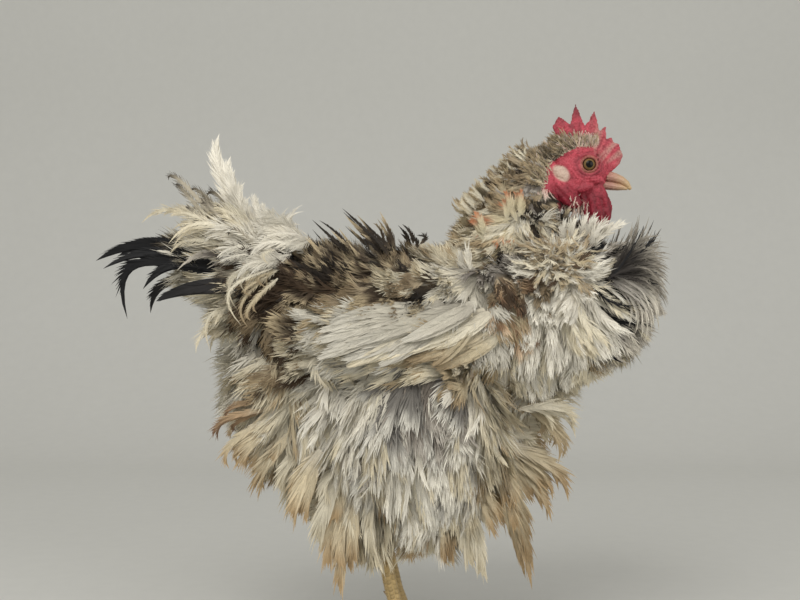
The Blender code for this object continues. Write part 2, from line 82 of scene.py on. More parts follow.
BELLY = ((-4, 0, 246, 30, 50, 70), (-4, 0, 218, 46, 92, 98), (-2, 0, 190, 50, 98, 100),
         (0, 0, 163, 48, 88, 86), (2, 0, 140, 36, 64, 60), (4, 0, 122, 14, 26, 24))
WING = ((-52, 63, 229, 4, 9, 8), (-40, 66, 231, 7, 18, 17), (-12, 70, 235, 9, 28, 28),
        (15, 71, 241, 9, 33, 33), (55, 68, 247, 9, 32, 34), (90, 62, 251, 8, 22, 24),
        (102, 56, 252, 4, 9, 9))
THIGH = ((24, 52, 224, 13, 26, 28), (26, 54, 200, 23, 42, 44), (27, 52, 170, 26, 50, 52),
         (24, 48, 140, 23, 42, 42), (15, 43, 117, 15, 25, 25), (2, 40, 106, 10, 13, 13),
         (-9, 38, 101, 7, 7, 7))

# Feather colours, as display values: the quill's end, the middle and the tip.
STYLES = {
    "white": ((196, 190, 176), (227, 221, 206), (235, 230, 216)),
    "pearl": ((178, 172, 158), (200, 194, 178), (208, 203, 189)),
    "fan": ((42, 38, 35), (50, 45, 41), (158, 151, 138)),
    "cream": ((200, 192, 173), (222, 214, 192), (216, 205, 178)),
    "down": ((206, 200, 186), (222, 216, 200), (227, 222, 208)),
    "tan": ((186, 175, 153), (168, 152, 126), (140, 122, 95)),
    "buff": ((202, 194, 172), (194, 180, 150), (172, 152, 120)),
    "tan_edge": ((106, 94, 77), (72, 60, 47), (186, 169, 137)),
    "dark": ((96, 84, 69), (52, 44, 35), (40, 34, 28)),
    "chocolate": ((124, 107, 85), (90, 73, 56), (72, 58, 44)),
    "olive": ((116, 106, 84), (84, 75, 56), (146, 134, 106)),
    "rust_dark": ((186, 170, 144), (172, 146, 114), (126, 98, 74)),
    "gold": ((208, 200, 182), (206, 192, 162), (180, 154, 116)),
    "grey": ((138, 130, 120), (124, 116, 107), (180, 173, 162)),
    "flecked": ((206, 197, 170), (212, 199, 166), (186, 124, 88)),
    "peach": ((194, 172, 142), (192, 158, 122), (206, 184, 156)),
    "ruff": ((34, 30, 28), (64, 57, 50), (192, 184, 170)),
    "ruff_pale": ((84, 80, 76), (168, 162, 152), (218, 211, 195)),
    "pencil": ((196, 188, 170), (56, 49, 41), (178, 162, 132)),
    "dark_root": ((56, 53, 50), (124, 120, 114), (226, 222, 210)),
    "black": ((34, 33, 33), (24, 24, 26), (22, 22, 24)),
    "grey_tip": ((212, 206, 188), (186, 177, 158), (74, 66, 56)),
    "pied": ((196, 190, 178), (44, 42, 42), (30, 29, 30)),
    "blush": ((206, 160, 148), (216, 190, 176), (222, 206, 190)),
}

# Feather tracts by group, in mm: x, |y|, z, reach, length, width, fray, curl, lie (x, y, z),
# density and the share of each colour. Fray runs from 0, a whole vane, to 1, loose strands;
# curl is in radians. Where the lie is "hub", feathers point away from the whorl on the breast.
TRACT_ROWS = {
    "back": (
        (-30, 25, 290, 30, 34, 8.0, .60, 1.9, (-.9, 0, .5), .9,
         "dark 4 tan_edge 5 tan 3 chocolate 1"),
        (-62, 22, 288, 20, 32, 8.0, .60, 1.7, (-.9, 0, .5), .9,
         "dark 4 chocolate 3 tan_edge 3 tan 1"),
        (12, 26, 296, 22, 28, 7.0, .65, 1.7, (-.9, 0, .4), .9, "dark 3 tan_edge 4 tan 3 buff 1"),
        (-78, 42, 260, 26, 36, 9.0, .55, .9, (-.5, 0, -.85), .9, "chocolate 7 tan 1 dark 1"),
        (-45, 52, 262, 22, 30, 8.5, .60, 1.7, (-.8, 0, -.5), .9,
         "chocolate 4 tan_edge 3 dark 3 tan 2"),
        (-98, 10, 290, 16, 34, 9.0, .70, 1.0, (-.8, 0, .6), 1.0, "cream 4 down 4 grey_tip 1"),
    ),
    "neck": (
        (44, 26, 306, 20, 27, 9.0, .75, 1.1, (-.8, 0, .5), 1.0, "cream 7 buff 3"),
        (62, 44, 312, 15, 23, 8.5, .75, .9, (-.8, 0, -.1), 1.1, "cream 7 buff 3 flecked 2"),
        (86, 40, 318, 12, 19, 7.0, .60, .7, (-.6, 0, -.6), 1.2, "cream 5 flecked 4 buff 2"),
        (84, 54, 297, 9, 16, 6.5, .65, .9, (-.6, 0, -.7), 1.2, "olive 5 dark 3 tan 1"),
        (88, 14, 342, 16, 22, 5.5, .75, 1.3, (-.8, 0, .45), 1.2,
         "tan_edge 3 tan 5 buff 4 dark 1 grey 3"),
        (107, 10, 362, 14, 15, 4.5, .75, 1.2, (-.8, 0, .5), 1.5, "tan 5 buff 5 grey 3 dark 1"),
        (106, 24, 340, 12, 14, 4.5, .60, .7, (-.6, 0, -.6), 1.6, "tan 4 buff 3 grey 2 pencil 2"),
        (118, 24, 330, 11, 13, 4.5, .50, .4, (-.4, 0, -.9), 1.8, "pencil 5 dark 4 tan 1 grey 1"),
        (126, 22, 312, 11, 18, 5.5, .60, .6, (.0, 0, -1), 1.4, "pencil 3 dark 3 cream 3 white 3"),
    ),
    "breast": (
        (121, 58, 286, 12, 16, 4.2, .55, 2.0, "hub", 1.9,
         "tan 5 chocolate 3 dark 1 buff 6 tan_edge 2"),
        (97, 58, 283, 9, 16, 7.0, .85, 1.2, "hub", 1.2, "grey 7 dark 1 down 3"),
        (126, 44, 306, 13, 26, 8.0, .75, 1.1, "hub", 1.1, "white 6 cream 4 down 2"),
        (134, 60, 278, 12, 23, 7.0, .60, 1.3, "hub", 1.1, "white 9 cream 2 dark_root 1"),
        (132, 62, 252, 16, 42, 7.0, .50, .7, (.15, 0, -1), 1.1, "white 9 cream 2 down 1"),
        (116, 60, 222, 18, 44, 8.0, .50, .6, (.0, 0, -1), 1.0, "white 7 cream 4"),
    ),
    "ruff": (
        (157, 50, 286, 13, 40, 6.0, .80, .6, (.95, .1, .05), 1.3, "ruff 9 black 3"),
        (160, 48, 262, 14, 42, 6.0, .80, .6, (.95, .1, -.4), 1.3, "ruff 9 black 2 ruff_pale 1"),
        (174, 18, 276, 17, 38, 6.5, .80, .6, (.95, 0, .1), 1.2, "ruff 8 black 3 ruff_pale 1"),
        (158, 16, 294, 11, 22, 5.0, .80, .7, (.8, 0, .5), 1.0, "ruff 5 black 3 white 2"),
        (166, 42, 240, 13, 42, 8.0, .70, .6, (.7, .1, -.7), 1.1, "ruff_pale 6 ruff 4 cream 2"),
        (152, 44, 214, 17, 38, 9.0, .65, .6, (.3, 0, -.95), 1.0, "cream 6 white 5 buff 1"),
        (150, 10, 214, 18, 36, 9.0, .70, .5, (.4, 0, -.9), .9, "cream 6 white 4"),
        (142, 14, 304, 11, 16, 5.0, .65, .7, (.5, 0, .3), 1.1, "pencil 3 white 4 dark 3"),
    ),
    "wing": (
        (-20, 78, 258, 20, 22, 8.0, .60, 2.0, (-.9, 0, -.3), 1.1,
         "tan 6 olive 4 tan_edge 4 buff 1"),
        (22, 78, 266, 18, 22, 8.0, .60, 1.9, (-.9, 0, -.2), 1.1, "tan 4 tan_edge 4 cream 2 dark 3"),
        (46, 78, 258, 13, 24, 8.5, .65, 1.4, (-.6, 0, -.8), 1.1, "pearl 6 cream 5"),
        (-12, 80, 224, 26, 34, 11., .25, .15, (-1, 0, -.12), 1.0, "pearl 8 cream 3"),
        (48, 80, 226, 18, 32, 10., .30, .20, (-1, 0, -.12), 1.0, "buff 6 cream 3"),
        (70, 72, 246, 15, 34, 9.0, .50, .6, (-.1, 0, -1), 1.0, "pearl 8 cream 3"),
        (79, 64, 279, 8, 18, 7.0, .85, 1.0, (-.3, 0, -.9), 1.2, "grey 7 tan_edge 3 down 1"),
        (84, 68, 266, 7, 18, 6.5, .65, .7, (-.2, 0, -1), 1.8, "chocolate 5 rust_dark 3 tan 2"),
        (82, 72, 250, 9.5, 24, 7.0, .60, .5, (-.15, 0, -1), 2.2, "peach 8 rust_dark 2 buff 2"),
    ),
    "belly": (
        (-82, 46, 208, 24, 42, 10., .60, .9, (-.35, 0, -.9), .9,
         "cream 7 buff 3 tan 2 chocolate 1"),
        (-60, 56, 178, 24, 52, 9.0, .42, .4, (-.2, 0, -1), .9, "cream 7 white 4 buff 2"),
        (-22, 70, 175, 26, 58, 8.0, .34, .25, (-.1, 0, -1), .9, "white 8 cream 4 dark_root 1"),
        (24, 76, 192, 18, 50, 8.0, .38, .3, (.0, 0, -1), 1.0, "dark_root 7 white 1 grey 3"),
        (40, 72, 150, 24, 58, 8.0, .34, .25, (.05, 0, -1), .9, "white 9 dark_root 2 cream 2"),
        (-24, 48, 124, 24, 52, 8.5, .40, .4, (-.1, 0, -1), .9, "cream 6 gold 3 white 4"),
        (84, 44, 168, 22, 48, 9.0, .50, .4, (.2, 0, -1), .9, "cream 7 buff 3 white 3"),
        (60, 34, 128, 20, 50, 8.5, .42, .3, (.15, 0, -1), .9, "cream 6 gold 4 white 3"),
        (0, 0, 122, 24, 32, 9.0, .70, .4, (0, 0, -1), .7, "cream 5 down 5"),
    ),
    "rear": (
        (-106, 20, 218, 24, 38, 10., .85, .8, (-.6, 0, -.7), .9, "down 7 white 3 cream 2"),
        (-84, 38, 160, 14, 40, 9.0, .50, .6, (-.6, 0, -.8), .9, "gold 4 rust_dark 1 cream 6"),
        (-100, 24, 268, 18, 36, 11., .70, .9, (-1, 0, .1), 1.0, "cream 7 down 5 grey_tip 1"),
        (-118, 12, 292, 14, 38, 11., .70, .9, (-.8, 0, .6), 1.2, "cream 6 down 6 grey_tip 1"),
        (-108, 18, 246, 16, 38, 11., .75, .8, (-.9, 0, -.4), 1.0, "down 5 cream 5"),
    ),
}

# Long feathers by name, in mm: colours, root, tip, bow at the middle, width, fray.
TAIL_FEATHERS = (
    ("black", (-104, -12, 276), (-214, -14, 284), (2, 0, 15), 21, .16),
    ("black", (-104, -15, 272), (-208, -17, 278), (2, -2, 14), 18, .20),
    ("black", (-102, 10, 274), (-205, 14, 288), (0, 0, 14), 20, .20),
    ("black", (-98, -17, 271), (-178, -20, 263), (-4, -2, 15), 18, .18),
    ("black", (-98, -18, 266), (-191, -13, 241), (-26, -4, 30), 13, .12),
    ("pied", (-86, -30, 264), (-166, -32, 254), (-2, 0, 6), 26, .22),
    ("pied", (-96, 18, 262), (-180, 16, 245), (-14, 0, 18), 16, .22),
)
PLUME = (("white", (-94, -4, 294), (-124, -6, 379), (-11, 0, 4), 13, .45),
         ("white", (-90, -8, 294), (-112, -8, 352), (-9, 0, 4), 12, .60))
# Soft feathers of the tail, which stand in small clumps.
TAIL_MASS = (
    ("ruff", (-92, -22, 276), (-152, -28, 276), (0, -4, 12), 13, .50),
    ("ruff", (-96, 18, 280), (-150, 24, 282), (0, 4, 12), 13, .55),
    ("cream", (-92, -20, 292), (-158, -27, 296), (0, -4, 16), 22, .75),
    ("cream", (-92, 16, 290), (-164, 22, 296), (0, 4, 14), 22, .75),
    ("cream", (-96, -16, 292), (-158, -22, 316), (-6, 0, 10), 21, .75),
    ("down", (-86, -20, 294), (-132, -26, 302), (-2, -4, 10), 22, .85),
    ("down", (-82, -22, 288), (-124, -29, 284), (0, -4, 8), 22, .85),
    ("cream", (-84, -18, 298), (-126, -24, 322), (-4, 0, 6), 19, .80),
    ("white", (-92, -10, 292), (-104, -14, 342), (-8, 0, 4), 16, .60),
    ("grey_tip", (-112, -14, 298), (-160, -17, 343), (-9, 0, 16), 13, .55),
    ("grey_tip", (-106, 12, 298), (-150, 22, 338), (-7, 0, 13), 13, .55),
    ("cream", (-112, 2, 294), (-184, 3, 313), (-2, 0, 16), 17, .60),
    ("grey_tip", (-98, -20, 292), (-134, -26, 325), (-6, 0, 9), 11, .60),
    ("grey_tip", (-92, -22, 288), (-118, -28, 312), (-5, 0, 8), 10, .65),
    ("white", (-84, -8, 296), (-97, -12, 334), (-4, 0, 4), 11, .65),
    ("white", (-76, 8, 296), (-85, 14, 325), (-5, 0, 2), 9, .70),
    ("down", (-70, -5, 296), (-62, -6, 326), (-6, 0, 2), 7, .85),
    ("cream", (-98, -22, 252), (-138, -27, 216), (-8, 0, 4), 12, .75),
    ("cream", (-96, 22, 250), (-136, 28, 214), (-8, 0, 4), 12, .75),
    ("cream", (-82, -38, 284), (-106, -42, 248), (-13, -4, 6), 8, .55),
    ("buff", (-78, -42, 276), (-98, -46, 236), (-11, -4, 2), 8, .55),
    ("cream", (-96, 28, 276), (-130, 32, 252), (-14, 3, 2), 13, .6),
    ("down", (-64, -28, 296), (-98, -36, 286), (-2, -4, 6), 22, .88),
    ("down", (-68, -32, 288), (-102, -42, 270), (-2, -4, 4), 20, .88),
    ("down", (-60, -18, 300), (-90, -26, 307), (-2, -2, 5), 20, .88),
    ("down", (-66, 26, 292), (-104, 34, 288), (-2, 4, 6), 22, .88),
)
# Hanging feathers below the belly and thighs, in mm: colours, root, tip, bow, width.
HANGING = (
    ("rust_dark", (-86, -36, 176), (-120, -40, 154), (-8, -4, 6), 6),
    ("gold", (-84, -38, 170), (-112, -40, 134), (-10, -4, 2), 7),
    ("gold", (-74, -36, 172), (-98, -38, 140), (-8, -4, 0), 11),
    ("gold", (-66, -34, 160), (-88, -30, 118), (-8, -4, 0), 13),
    ("cream", (-50, -34, 150), (-66, -28, 98), (-6, -4, 0), 13),
    ("gold", (-46, -56, 150), (-63, -62, 100), (-4, -4, 0), 11),
    ("cream", (-32, -54, 134), (-46, -60, 84), (-3, -4, 0), 13),
    ("gold", (-30, -50, 130), (-40, -56, 66), (-2, -4, 0), 14),
    ("gold", (-22, -50, 124), (-31, -55, 46), (-3, -5, 0), 14),
    ("cream", (-12, -52, 124), (-6, -60, 76), (-3, -4, 0), 12),
    ("white", (14, -56, 132), (20, -57, 84), (0, -5, 0), 11),
    ("white", (34, -56, 132), (37, -60, 88), (0, -5, 0), 11),
    ("cream", (52, -52, 130), (62, -57, 66), (-2, -5, 0), 13),
    ("cream", (58, -50, 132), (72, -57, 56), (-2, -5, 0), 12),
    ("gold", (74, -46, 146), (92, -54, 92), (2, -5, 0), 12),
    ("gold", (76, -20, 142), (108, -14, 41), (3, -4, 2), 15),
    ("gold", (80, -22, 140), (104, -18, 60), (4, -4, 2), 12),
    ("gold", (88, -24, 150), (134, -20, 107), (7, -2, 8), 12),
    ("gold", (84, -20, 146), (122, -18, 92), (4, -3, 4), 11),
    ("cream", (88, 12, 158), (119, 14, 148), (6, 0, 8), 10),
    ("cream", (96, -34, 180), (136, -30, 160), (8, -2, 10), 9),
    ("buff", (98, -30, 186), (128, -30, 140), (10, -3, 2), 8),
)
# Dark curled feathers that stand up from the back, in mm: colours, root, tip, bow, width.
SPIKES = (
    ("dark", (-24, -30, 288), (-53, -34, 313), (4, -4, -4), 3.4),
    ("tan_edge", (-14, -32, 286), (-40, -36, 306), (3, -4, -4), 4),
    ("dark", (-2, -34, 292), (-31, -36, 321), (5, -4, -4), 3.4),
    ("dark", (2, -36, 288), (-18, -40, 308), (4, -4, -3), 4),
    ("tan_edge", (6, -30, 294), (-4, -32, 315), (3, -4, -2), 3.4),
    ("dark", (20, -30, 296), (12, -32, 310), (3, -3, -1), 3),
    ("tan_edge", (-38, -28, 284), (-58, -32, 300), (3, -4, -3), 4.4),
    ("tan_edge", (-6, -10, 296), (-28, -8, 316), (3, 0, -3), 3.4),
    ("tan", (-44, -8, 288), (-66, -8, 304), (3, 0, -3), 4),
    ("flecked", (90, -40, 316), (84, -46, 333), (2, -2, 0), 6),
    ("flecked", (98, -38, 316), (94, -44, 332), (2, -2, 0), 5),
    ("flecked", (70, -46, 302), (62, -54, 318), (2, -2, 0), 6),
)
# Loose feathers that rise from the breast's top to the wattles, in mm.
THROAT = (
    ("white", (136, -26, 298), (139, -30, 315), (-3, -5, 0), 6),
    ("white", (144, -22, 300), (149, -24, 319), (-3, -5, 0), 5),
    ("ruff_pale", (150, -18, 300), (156, -20, 320), (-3, -5, 0), 4),
    ("white", (154, -22, 298), (164, -26, 312), (-2, -5, 4), 6),
    ("pencil", (134, -20, 304), (134, -24, 322), (-3, -5, 0), 4),
    ("white", (148, -30, 294), (160, -34, 308), (-2, -5, 4), 7),
)
# Long smooth feathers of the folded wing, in mm: colours, root, tip, bow, width.
WING_BLADES = (
    ("buff", (78, -80, 240), (14, -88, 214), (0, -4, -3), 19),
    ("buff", (80, -80, 232), (34, -88, 209), (0, -4, -3), 17),
    ("cream", (70, -82, 246), (-8, -90, 215), (0, -4, -2), 20),
    ("pearl", (60, -83, 250), (-30, -88, 214), (0, -4, -2), 21),
    ("pearl", (50, -84, 252), (-44, -86, 219), (0, -4, -1), 21),
    ("pearl", (40, -85, 252), (-49, -85, 226), (0, -4, 0), 20),
    ("pearl", (30, -85, 252), (-46, -84, 233), (0, -4, 1), 19),
    ("pearl", (20, -85, 250), (-38, -84, 239), (0, -4, 2), 17),
    ("pearl", (8, -86, 242), (-46, -86, 215), (0, -4, -1), 19),
    ("cream", (24, -87, 238), (-26, -89, 210), (0, -3, -2), 19),
    ("pearl", (38, -87, 242), (-4, -91, 211), (0, -3, -2), 19),
    ("buff", (58, -86, 238), (32, -90, 211), (0, -3, -2), 18),
    ("pearl", (60, -86, 252), (10, -89, 226), (0, -3, -2), 20),
    ("cream", (72, -84, 246), (30, -89, 222), (0, -3, -2), 19),
)


Tract = namedtuple("Tract", "group x y z reach length width fray curl lie density mix")


def shares(words):
    """The share of each colour, from a line of names and numbers in turn."""
    words = words.split()
    return dict(zip(words[::2], map(int, words[1::2])))


TRACTS = [Tract(name, *row[:-1], shares(row[-1])) for name, rows in TRACT_ROWS.items()
          for row in rows]


# ---------------------------------------------------------------- sums on rows of numbers
def linear(rgb):
    """A display colour, 0 to 255, as linear light."""
    return tuple(((c / 255 + .055) / 1.055) ** 2.4 if c > 10 else c / 3294 for c in rgb)


def unit(v):
    """Rows of vectors, each made one long."""
    return v / np.maximum(np.linalg.norm(v, axis=-1, keepdims=True), 1e-9)


def laid(lie, normal):
    """Directions pressed flat on the skin, each made one long."""
    return unit(lie - normal * (lie * normal).sum(1, keepdims=True))


def ease(x, low, high):
    """A smooth step from 0 at low to 1 at high."""
    t = np.clip((x - low) / (high - low), 0, 1)
    return t * t * (3 - 2 * t)


def spot(x, z, centre, reach):
    """A soft spot in x and z, 1 at its centre."""
    return np.exp(-((x - centre[0]) / reach[0]) ** 2 - ((z - centre[1]) / reach[1]) ** 2)


def toward(tint, colour, share):
    """Tints moved to one colour, each by its own share."""
    return tint + (np.array(colour) - tint) * share[:, None]


def clouds(places):
    """Soft noise at each place, from -1 to 1."""
    return np.array([relief.noise(Vector(p)) for p in places.tolist()])


# ---------------------------------------------------------------- mesh helpers
def alone(obj=None):
    """Deselects everything, then selects and activates one object."""
    for other in bpy.context.selected_objects:
        other.select_set(False)
    if obj is not None:
        obj.select_set(True)
        bpy.context.view_layer.objects.active = obj


def applied(obj, kind, **values):
    """Adds one modifier to an object and applies it."""
    alone(obj)
    modifier = obj.modifiers.new(kind.lower(), kind)
    for key, value in values.items():
        setattr(modifier, key, value)
    bpy.ops.object.modifier_apply(modifier=modifier.name)
    return obj


def joined(name, objects):
    """Joins objects into one with this name."""
    alone(objects[0])
    for obj in objects:
        obj.select_set(True)
    bpy.ops.object.join()
    obj = bpy.context.view_layer.objects.active
    obj.name = obj.data.name = name
    return obj


def placed(obj):
    """Puts an object's place, turn and scale into its mesh."""
    alone(obj)
    bpy.ops.object.transform_apply(location=True, rotation=True, scale=True)
    return obj


def linked(name, mesh):
    """A new object in the scene for a mesh."""
    obj = bpy.data.objects.new(name, mesh)
    bpy.context.scene.collection.objects.link(obj)
    return obj


def edited(obj, operator, **values):
    """Runs one mesh operator on the whole of an object."""
    alone(obj)
    bpy.ops.object.mode_set(mode="EDIT")
    bpy.ops.mesh.select_all(action="SELECT")
    operator(**values)
    bpy.ops.object.mode_set(mode="OBJECT")
    return obj


def node_copy(node, name):
    """A copy of a CAD node's mesh with its loose triangles merged."""
    obj = linked(name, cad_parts[node].data.copy())
    obj.data.materials.clear()
    work = bmesh.new()
    work.from_mesh(obj.data)
    bmesh.ops.remove_doubles(work, verts=work.verts, dist=2e-6)
    work.to_mesh(obj.data)
    work.free()
    return obj


def ball(name, centre, radii, tilt=0):
    """A round form at a place in mm, with its three radii, tilted about y by degrees."""
    alone()
    bpy.ops.mesh.primitive_uv_sphere_add(segments=28, ring_count=16, radius=1,
                                         location=[c * MM for c in centre],
                                         rotation=(0, math.radians(tilt), 0))
    obj = bpy.context.object
    obj.name = name
    obj.scale = [r * MM for r in radii]
    return placed(obj)


def lid(name, centre, wide, thick, turn, stretch):
    """A ring in mm round the eye, turned about z by degrees."""
    alone()
    bpy.ops.mesh.primitive_torus_add(major_segments=48, minor_segments=12,
                                     major_radius=wide * MM, minor_radius=thick * MM,
                                     location=[c * MM for c in centre],
                                     rotation=(math.radians(90), 0, math.radians(turn)))
    obj = bpy.context.object
    obj.name = name
    obj.scale = stretch
    return placed(obj)


def lofted(name, rows, side=1, around=28, steps=5):
    """One closed form through rows of x, y, z, half width, reach above, reach below."""
    rows = np.array(rows, float) * (1, side, 1, 1, 1, 1) * MM
    padded = np.vstack([2 * rows[0] - rows[1], rows, 2 * rows[-1] - rows[-2]])
    fine = []
    for k in range(1, len(padded) - 2):
        a, b, c, d = padded[k - 1:k + 3]
        for s in range(steps):
            t = s / steps
            fine.append(.5 * (2 * b + (c - a) * t + (2 * a - 5 * b + 4 * c - d) * t * t
                              + (3 * b - a - 3 * c + d) * t ** 3))
    fine.append(rows[-1])
    fine = np.array(fine)
    fine[:, 3:] = np.maximum(fine[:, 3:], .8 * MM)
    centre = fine[:, :3]
    ahead = unit(np.gradient(centre, axis=0))
    across = unit(np.array((0, 1.0, 0)) - ahead * ahead[:, 1:2])
    above = np.cross(ahead, across)
    angle = np.linspace(0, 2 * math.pi, around, endpoint=False)
    c, s = np.cos(angle)[None, :, None], np.sin(angle)[None, :, None]
    reach = np.where(s > 0, fine[:, None, 4:5], fine[:, None, 5:6])
    grid = centre[:, None] + across[:, None] * fine[:, None, 3:4] * c + above[:, None] * reach * s
    points = grid.reshape(-1, 3).tolist() + [centre[0].tolist(), centre[-1].tolist()]
    last = len(points) - 1
    faces = []
    for k in range(len(fine) - 1):
        for j in range(around):
            i, n = k * around, (j + 1) % around
            faces.append((i + j, i + n, i + around + n, i + around + j))
    end = (len(fine) - 1) * around
    for j in range(around):
        n = (j + 1) % around
        faces.append((last - 1, n, j))
        faces.append((last, end + j, end + n))
    mesh = bpy.data.meshes.new(name)
    mesh.from_pydata(points, [], faces)
    return edited(linked(name, mesh), bpy.ops.mesh.normals_make_consistent, inside=False)


def fetched(items, key, wide, kind=np.float32):
    """One value of every item of a mesh, as rows."""
    values = np.empty(len(items) * wide, kind)
    items.foreach_get(key, values)
    return values.reshape(-1, wide)


def stored(items, key, values, kind=np.float32):
    """Sets one value of every item of a mesh."""
    items.foreach_set(key, np.asarray(values, kind).ravel())


def arrays(mesh):
    """A mesh's points and their normals."""
    return (fetched(mesh.vertices, "co", 3).astype(float),
            fetched(mesh.vertex_normals, "vector", 3).astype(float))


def set_points(mesh, points):
    """Moves a mesh's points."""
    stored(mesh.vertices, "co", points)
    mesh.update()


def opaque(tint):
    """Colours with a full alpha."""
    return np.c_[tint, np.ones(len(tint))]


def smooth_shaded(obj):
    """Shades an object smooth."""
    alone(obj)
    bpy.ops.object.shade_smooth()
    return obj


def triangle_mesh(name, made):
    """One mesh from arrays: points, triangles, colours, bake-map places, strands, normals."""
    points, faces, tint, patch, strand, normals = made
    mesh = bpy.data.meshes.new(name)
    mesh.vertices.add(len(points))
    stored(mesh.vertices, "co", points)
    mesh.loops.add(len(faces) * 3)
    mesh.polygons.add(len(faces))
    stored(mesh.polygons, "loop_start", np.arange(0, len(faces) * 3, 3), np.int32)
    stored(mesh.polygons, "vertices", faces, np.int32)
    mesh.update(calc_edges=True)
    stored(mesh.color_attributes.new("tint", "FLOAT_COLOR", "POINT").data, "color", opaque(tint))
    stored(mesh.attributes.new("strand", "FLOAT_VECTOR", "POINT").data, "vector", strand)
    stored(mesh.uv_layers.new(name="OFBake").data, "uv", patch[faces.ravel()])
    mesh.normals_split_custom_set_from_vertices(normals.astype(np.float32))
    return linked(name, mesh)


# ---------------------------------------------------------------- shader helpers
def node(tree, kind, links=None, **values):
    """Adds a node, sets its properties, and links or fills its inputs."""
    made = tree.nodes.new(kind)
    for key, value in values.items():
        setattr(made, key, value)
    for socket, source in (links or {}).items():
        if isinstance(source, bpy.types.NodeSocket):
            tree.links.new(source, made.inputs[socket])
        else:
            made.inputs[socket].default_value = source
    return made


def spaced(values):
    """Socket names with spaces, from keyword names."""
    return {key.replace("_", " "): value for key, value in values.items()}


def shared_group(name, ins, outs, build):
    """A node group, made once. build fills its tree and returns the source of each output."""
    if name in bpy.data.node_groups:
        return bpy.data.node_groups[name]
    tree = bpy.data.node_groups.new(name, "ShaderNodeTree")
    for label, value in ins.items():
        kind = "NodeSocketColor" if isinstance(value, tuple) else "NodeSocketFloat"
        socket = tree.interface.new_socket(name=label, in_out="INPUT", socket_type=kind)
        socket.default_value = value
    for label in outs:
        kind = "NodeSocketColor" if label == "Color" else "NodeSocketFloat"
        tree.interface.new_socket(name=label, in_out="OUTPUT", socket_type=kind)
    given, out = tree.nodes.new("NodeGroupInput"), tree.nodes.new("NodeGroupOutput")
    for label, source in build(tree, given.outputs).items():
        tree.links.new(source, out.inputs[label])
    return tree


def mixed(tree, factor, a, b, blend="MIX"):
    """Two colours mixed. Sockets 0, 6 and 7 are a colour mix node's factor and two colours."""
    return node(tree, "ShaderNodeMix", {0: factor, 6: a, 7: b}, data_type="RGBA",
                blend_type=blend).outputs[2]


def shaded(tree, colour, value):
    """A colour made darker or lighter by a value."""
    grey = node(tree, "ShaderNodeCombineColor", {0: value, 1: value, 2: value})
    return mixed(tree, 1.0, colour, grey.outputs[0], "MULTIPLY")


def ramp(tree, factor, stops):
    """A colour ramp with stops of place and colour."""
    made = node(tree, "ShaderNodeValToRGB", {"Fac": factor})
    band = made.color_ramp
    while len(band.elements) < len(stops):
        band.elements.new(.5)
    for element, (place, colour) in zip(band.elements, stops):
        element.position = place
        element.color = (*colour, 1)
    return made.outputs["Color"]


def maths(tree, operation, *sources):
    """The result of one Math node."""
    return node(tree, "ShaderNodeMath", dict(enumerate(sources)), operation=operation).outputs[0]


def ranged(tree, *values):
    """A value mapped from one range to another: value, from low, from high, to low, to high."""
    names = ("Value", "From Min", "From Max", "To Min", "To Max")
    return node(tree, "ShaderNodeMapRange", dict(zip(names, values))).outputs[0]


def noise(tree, place, scale, detail, **sockets):
    """The outputs of a noise texture at a place."""
    return node(tree, "ShaderNodeTexNoise", {"Vector": place, "Scale": scale, "Detail": detail,
                                             **sockets}).outputs


def object_place(tree):
    """Object coordinates."""
    return tree.nodes.new("ShaderNodeTexCoord").outputs["Object"]


def attribute(tree, name):
    """The outputs of a named mesh attribute."""
    return node(tree, "ShaderNodeAttribute", attribute_name=name).outputs


def material(name, roughness, **sockets):
    """A new material with its Principled shader."""
    made = bpy.data.materials.new(name)
    made.use_nodes = True
    tree = made.node_tree
    tree.nodes.clear()
    shader = node(tree, "ShaderNodeBsdfPrincipled", {"Roughness": roughness, **spaced(sockets)})
    out = tree.nodes.new("ShaderNodeOutputMaterial")
    tree.links.new(shader.outputs[0], out.inputs["Surface"])
    return made, tree, shader


def bumped(tree, shader, height, distance, strength):
    """Gives a shader relief from a height."""
    bump = node(tree, "ShaderNodeBump",
                {"Height": height, "Distance": distance, "Strength": strength})
    tree.links.new(bump.outputs[0], shader.inputs["Normal"])


# ---------------------------------------------------------------- shared effects
def grained(tree, colour, scale, fine_scale, amount):
    """Grain: cloudy colour change and fine height, both from Object coordinates."""
    def build(tree, given):
        place = object_place(tree)
        broad = noise(tree, place, given["Scale"], 3.0)["Fac"]
        fine = noise(tree, place, given["Fine Scale"], 2.0)["Fac"]
        swing = maths(tree, "ADD", maths(tree, "ADD", broad, fine), -1.0)
        value = maths(tree, "MULTIPLY_ADD", swing, given["Amount"], 1.0)
        return {"Color": shaded(tree, given["Color"], value), "Height": fine}

    shared = shared_group("Grain", {"Color": (1, 1, 1, 1), "Scale": 400.0, "Fine Scale": 2500.0,
                                    "Amount": .2}, ("Color", "Height"), build)
    return node(tree, "ShaderNodeGroup", {"Color": colour, "Scale": scale, "Fine Scale": fine_scale,
                                          "Amount": amount}, node_tree=shared).outputs


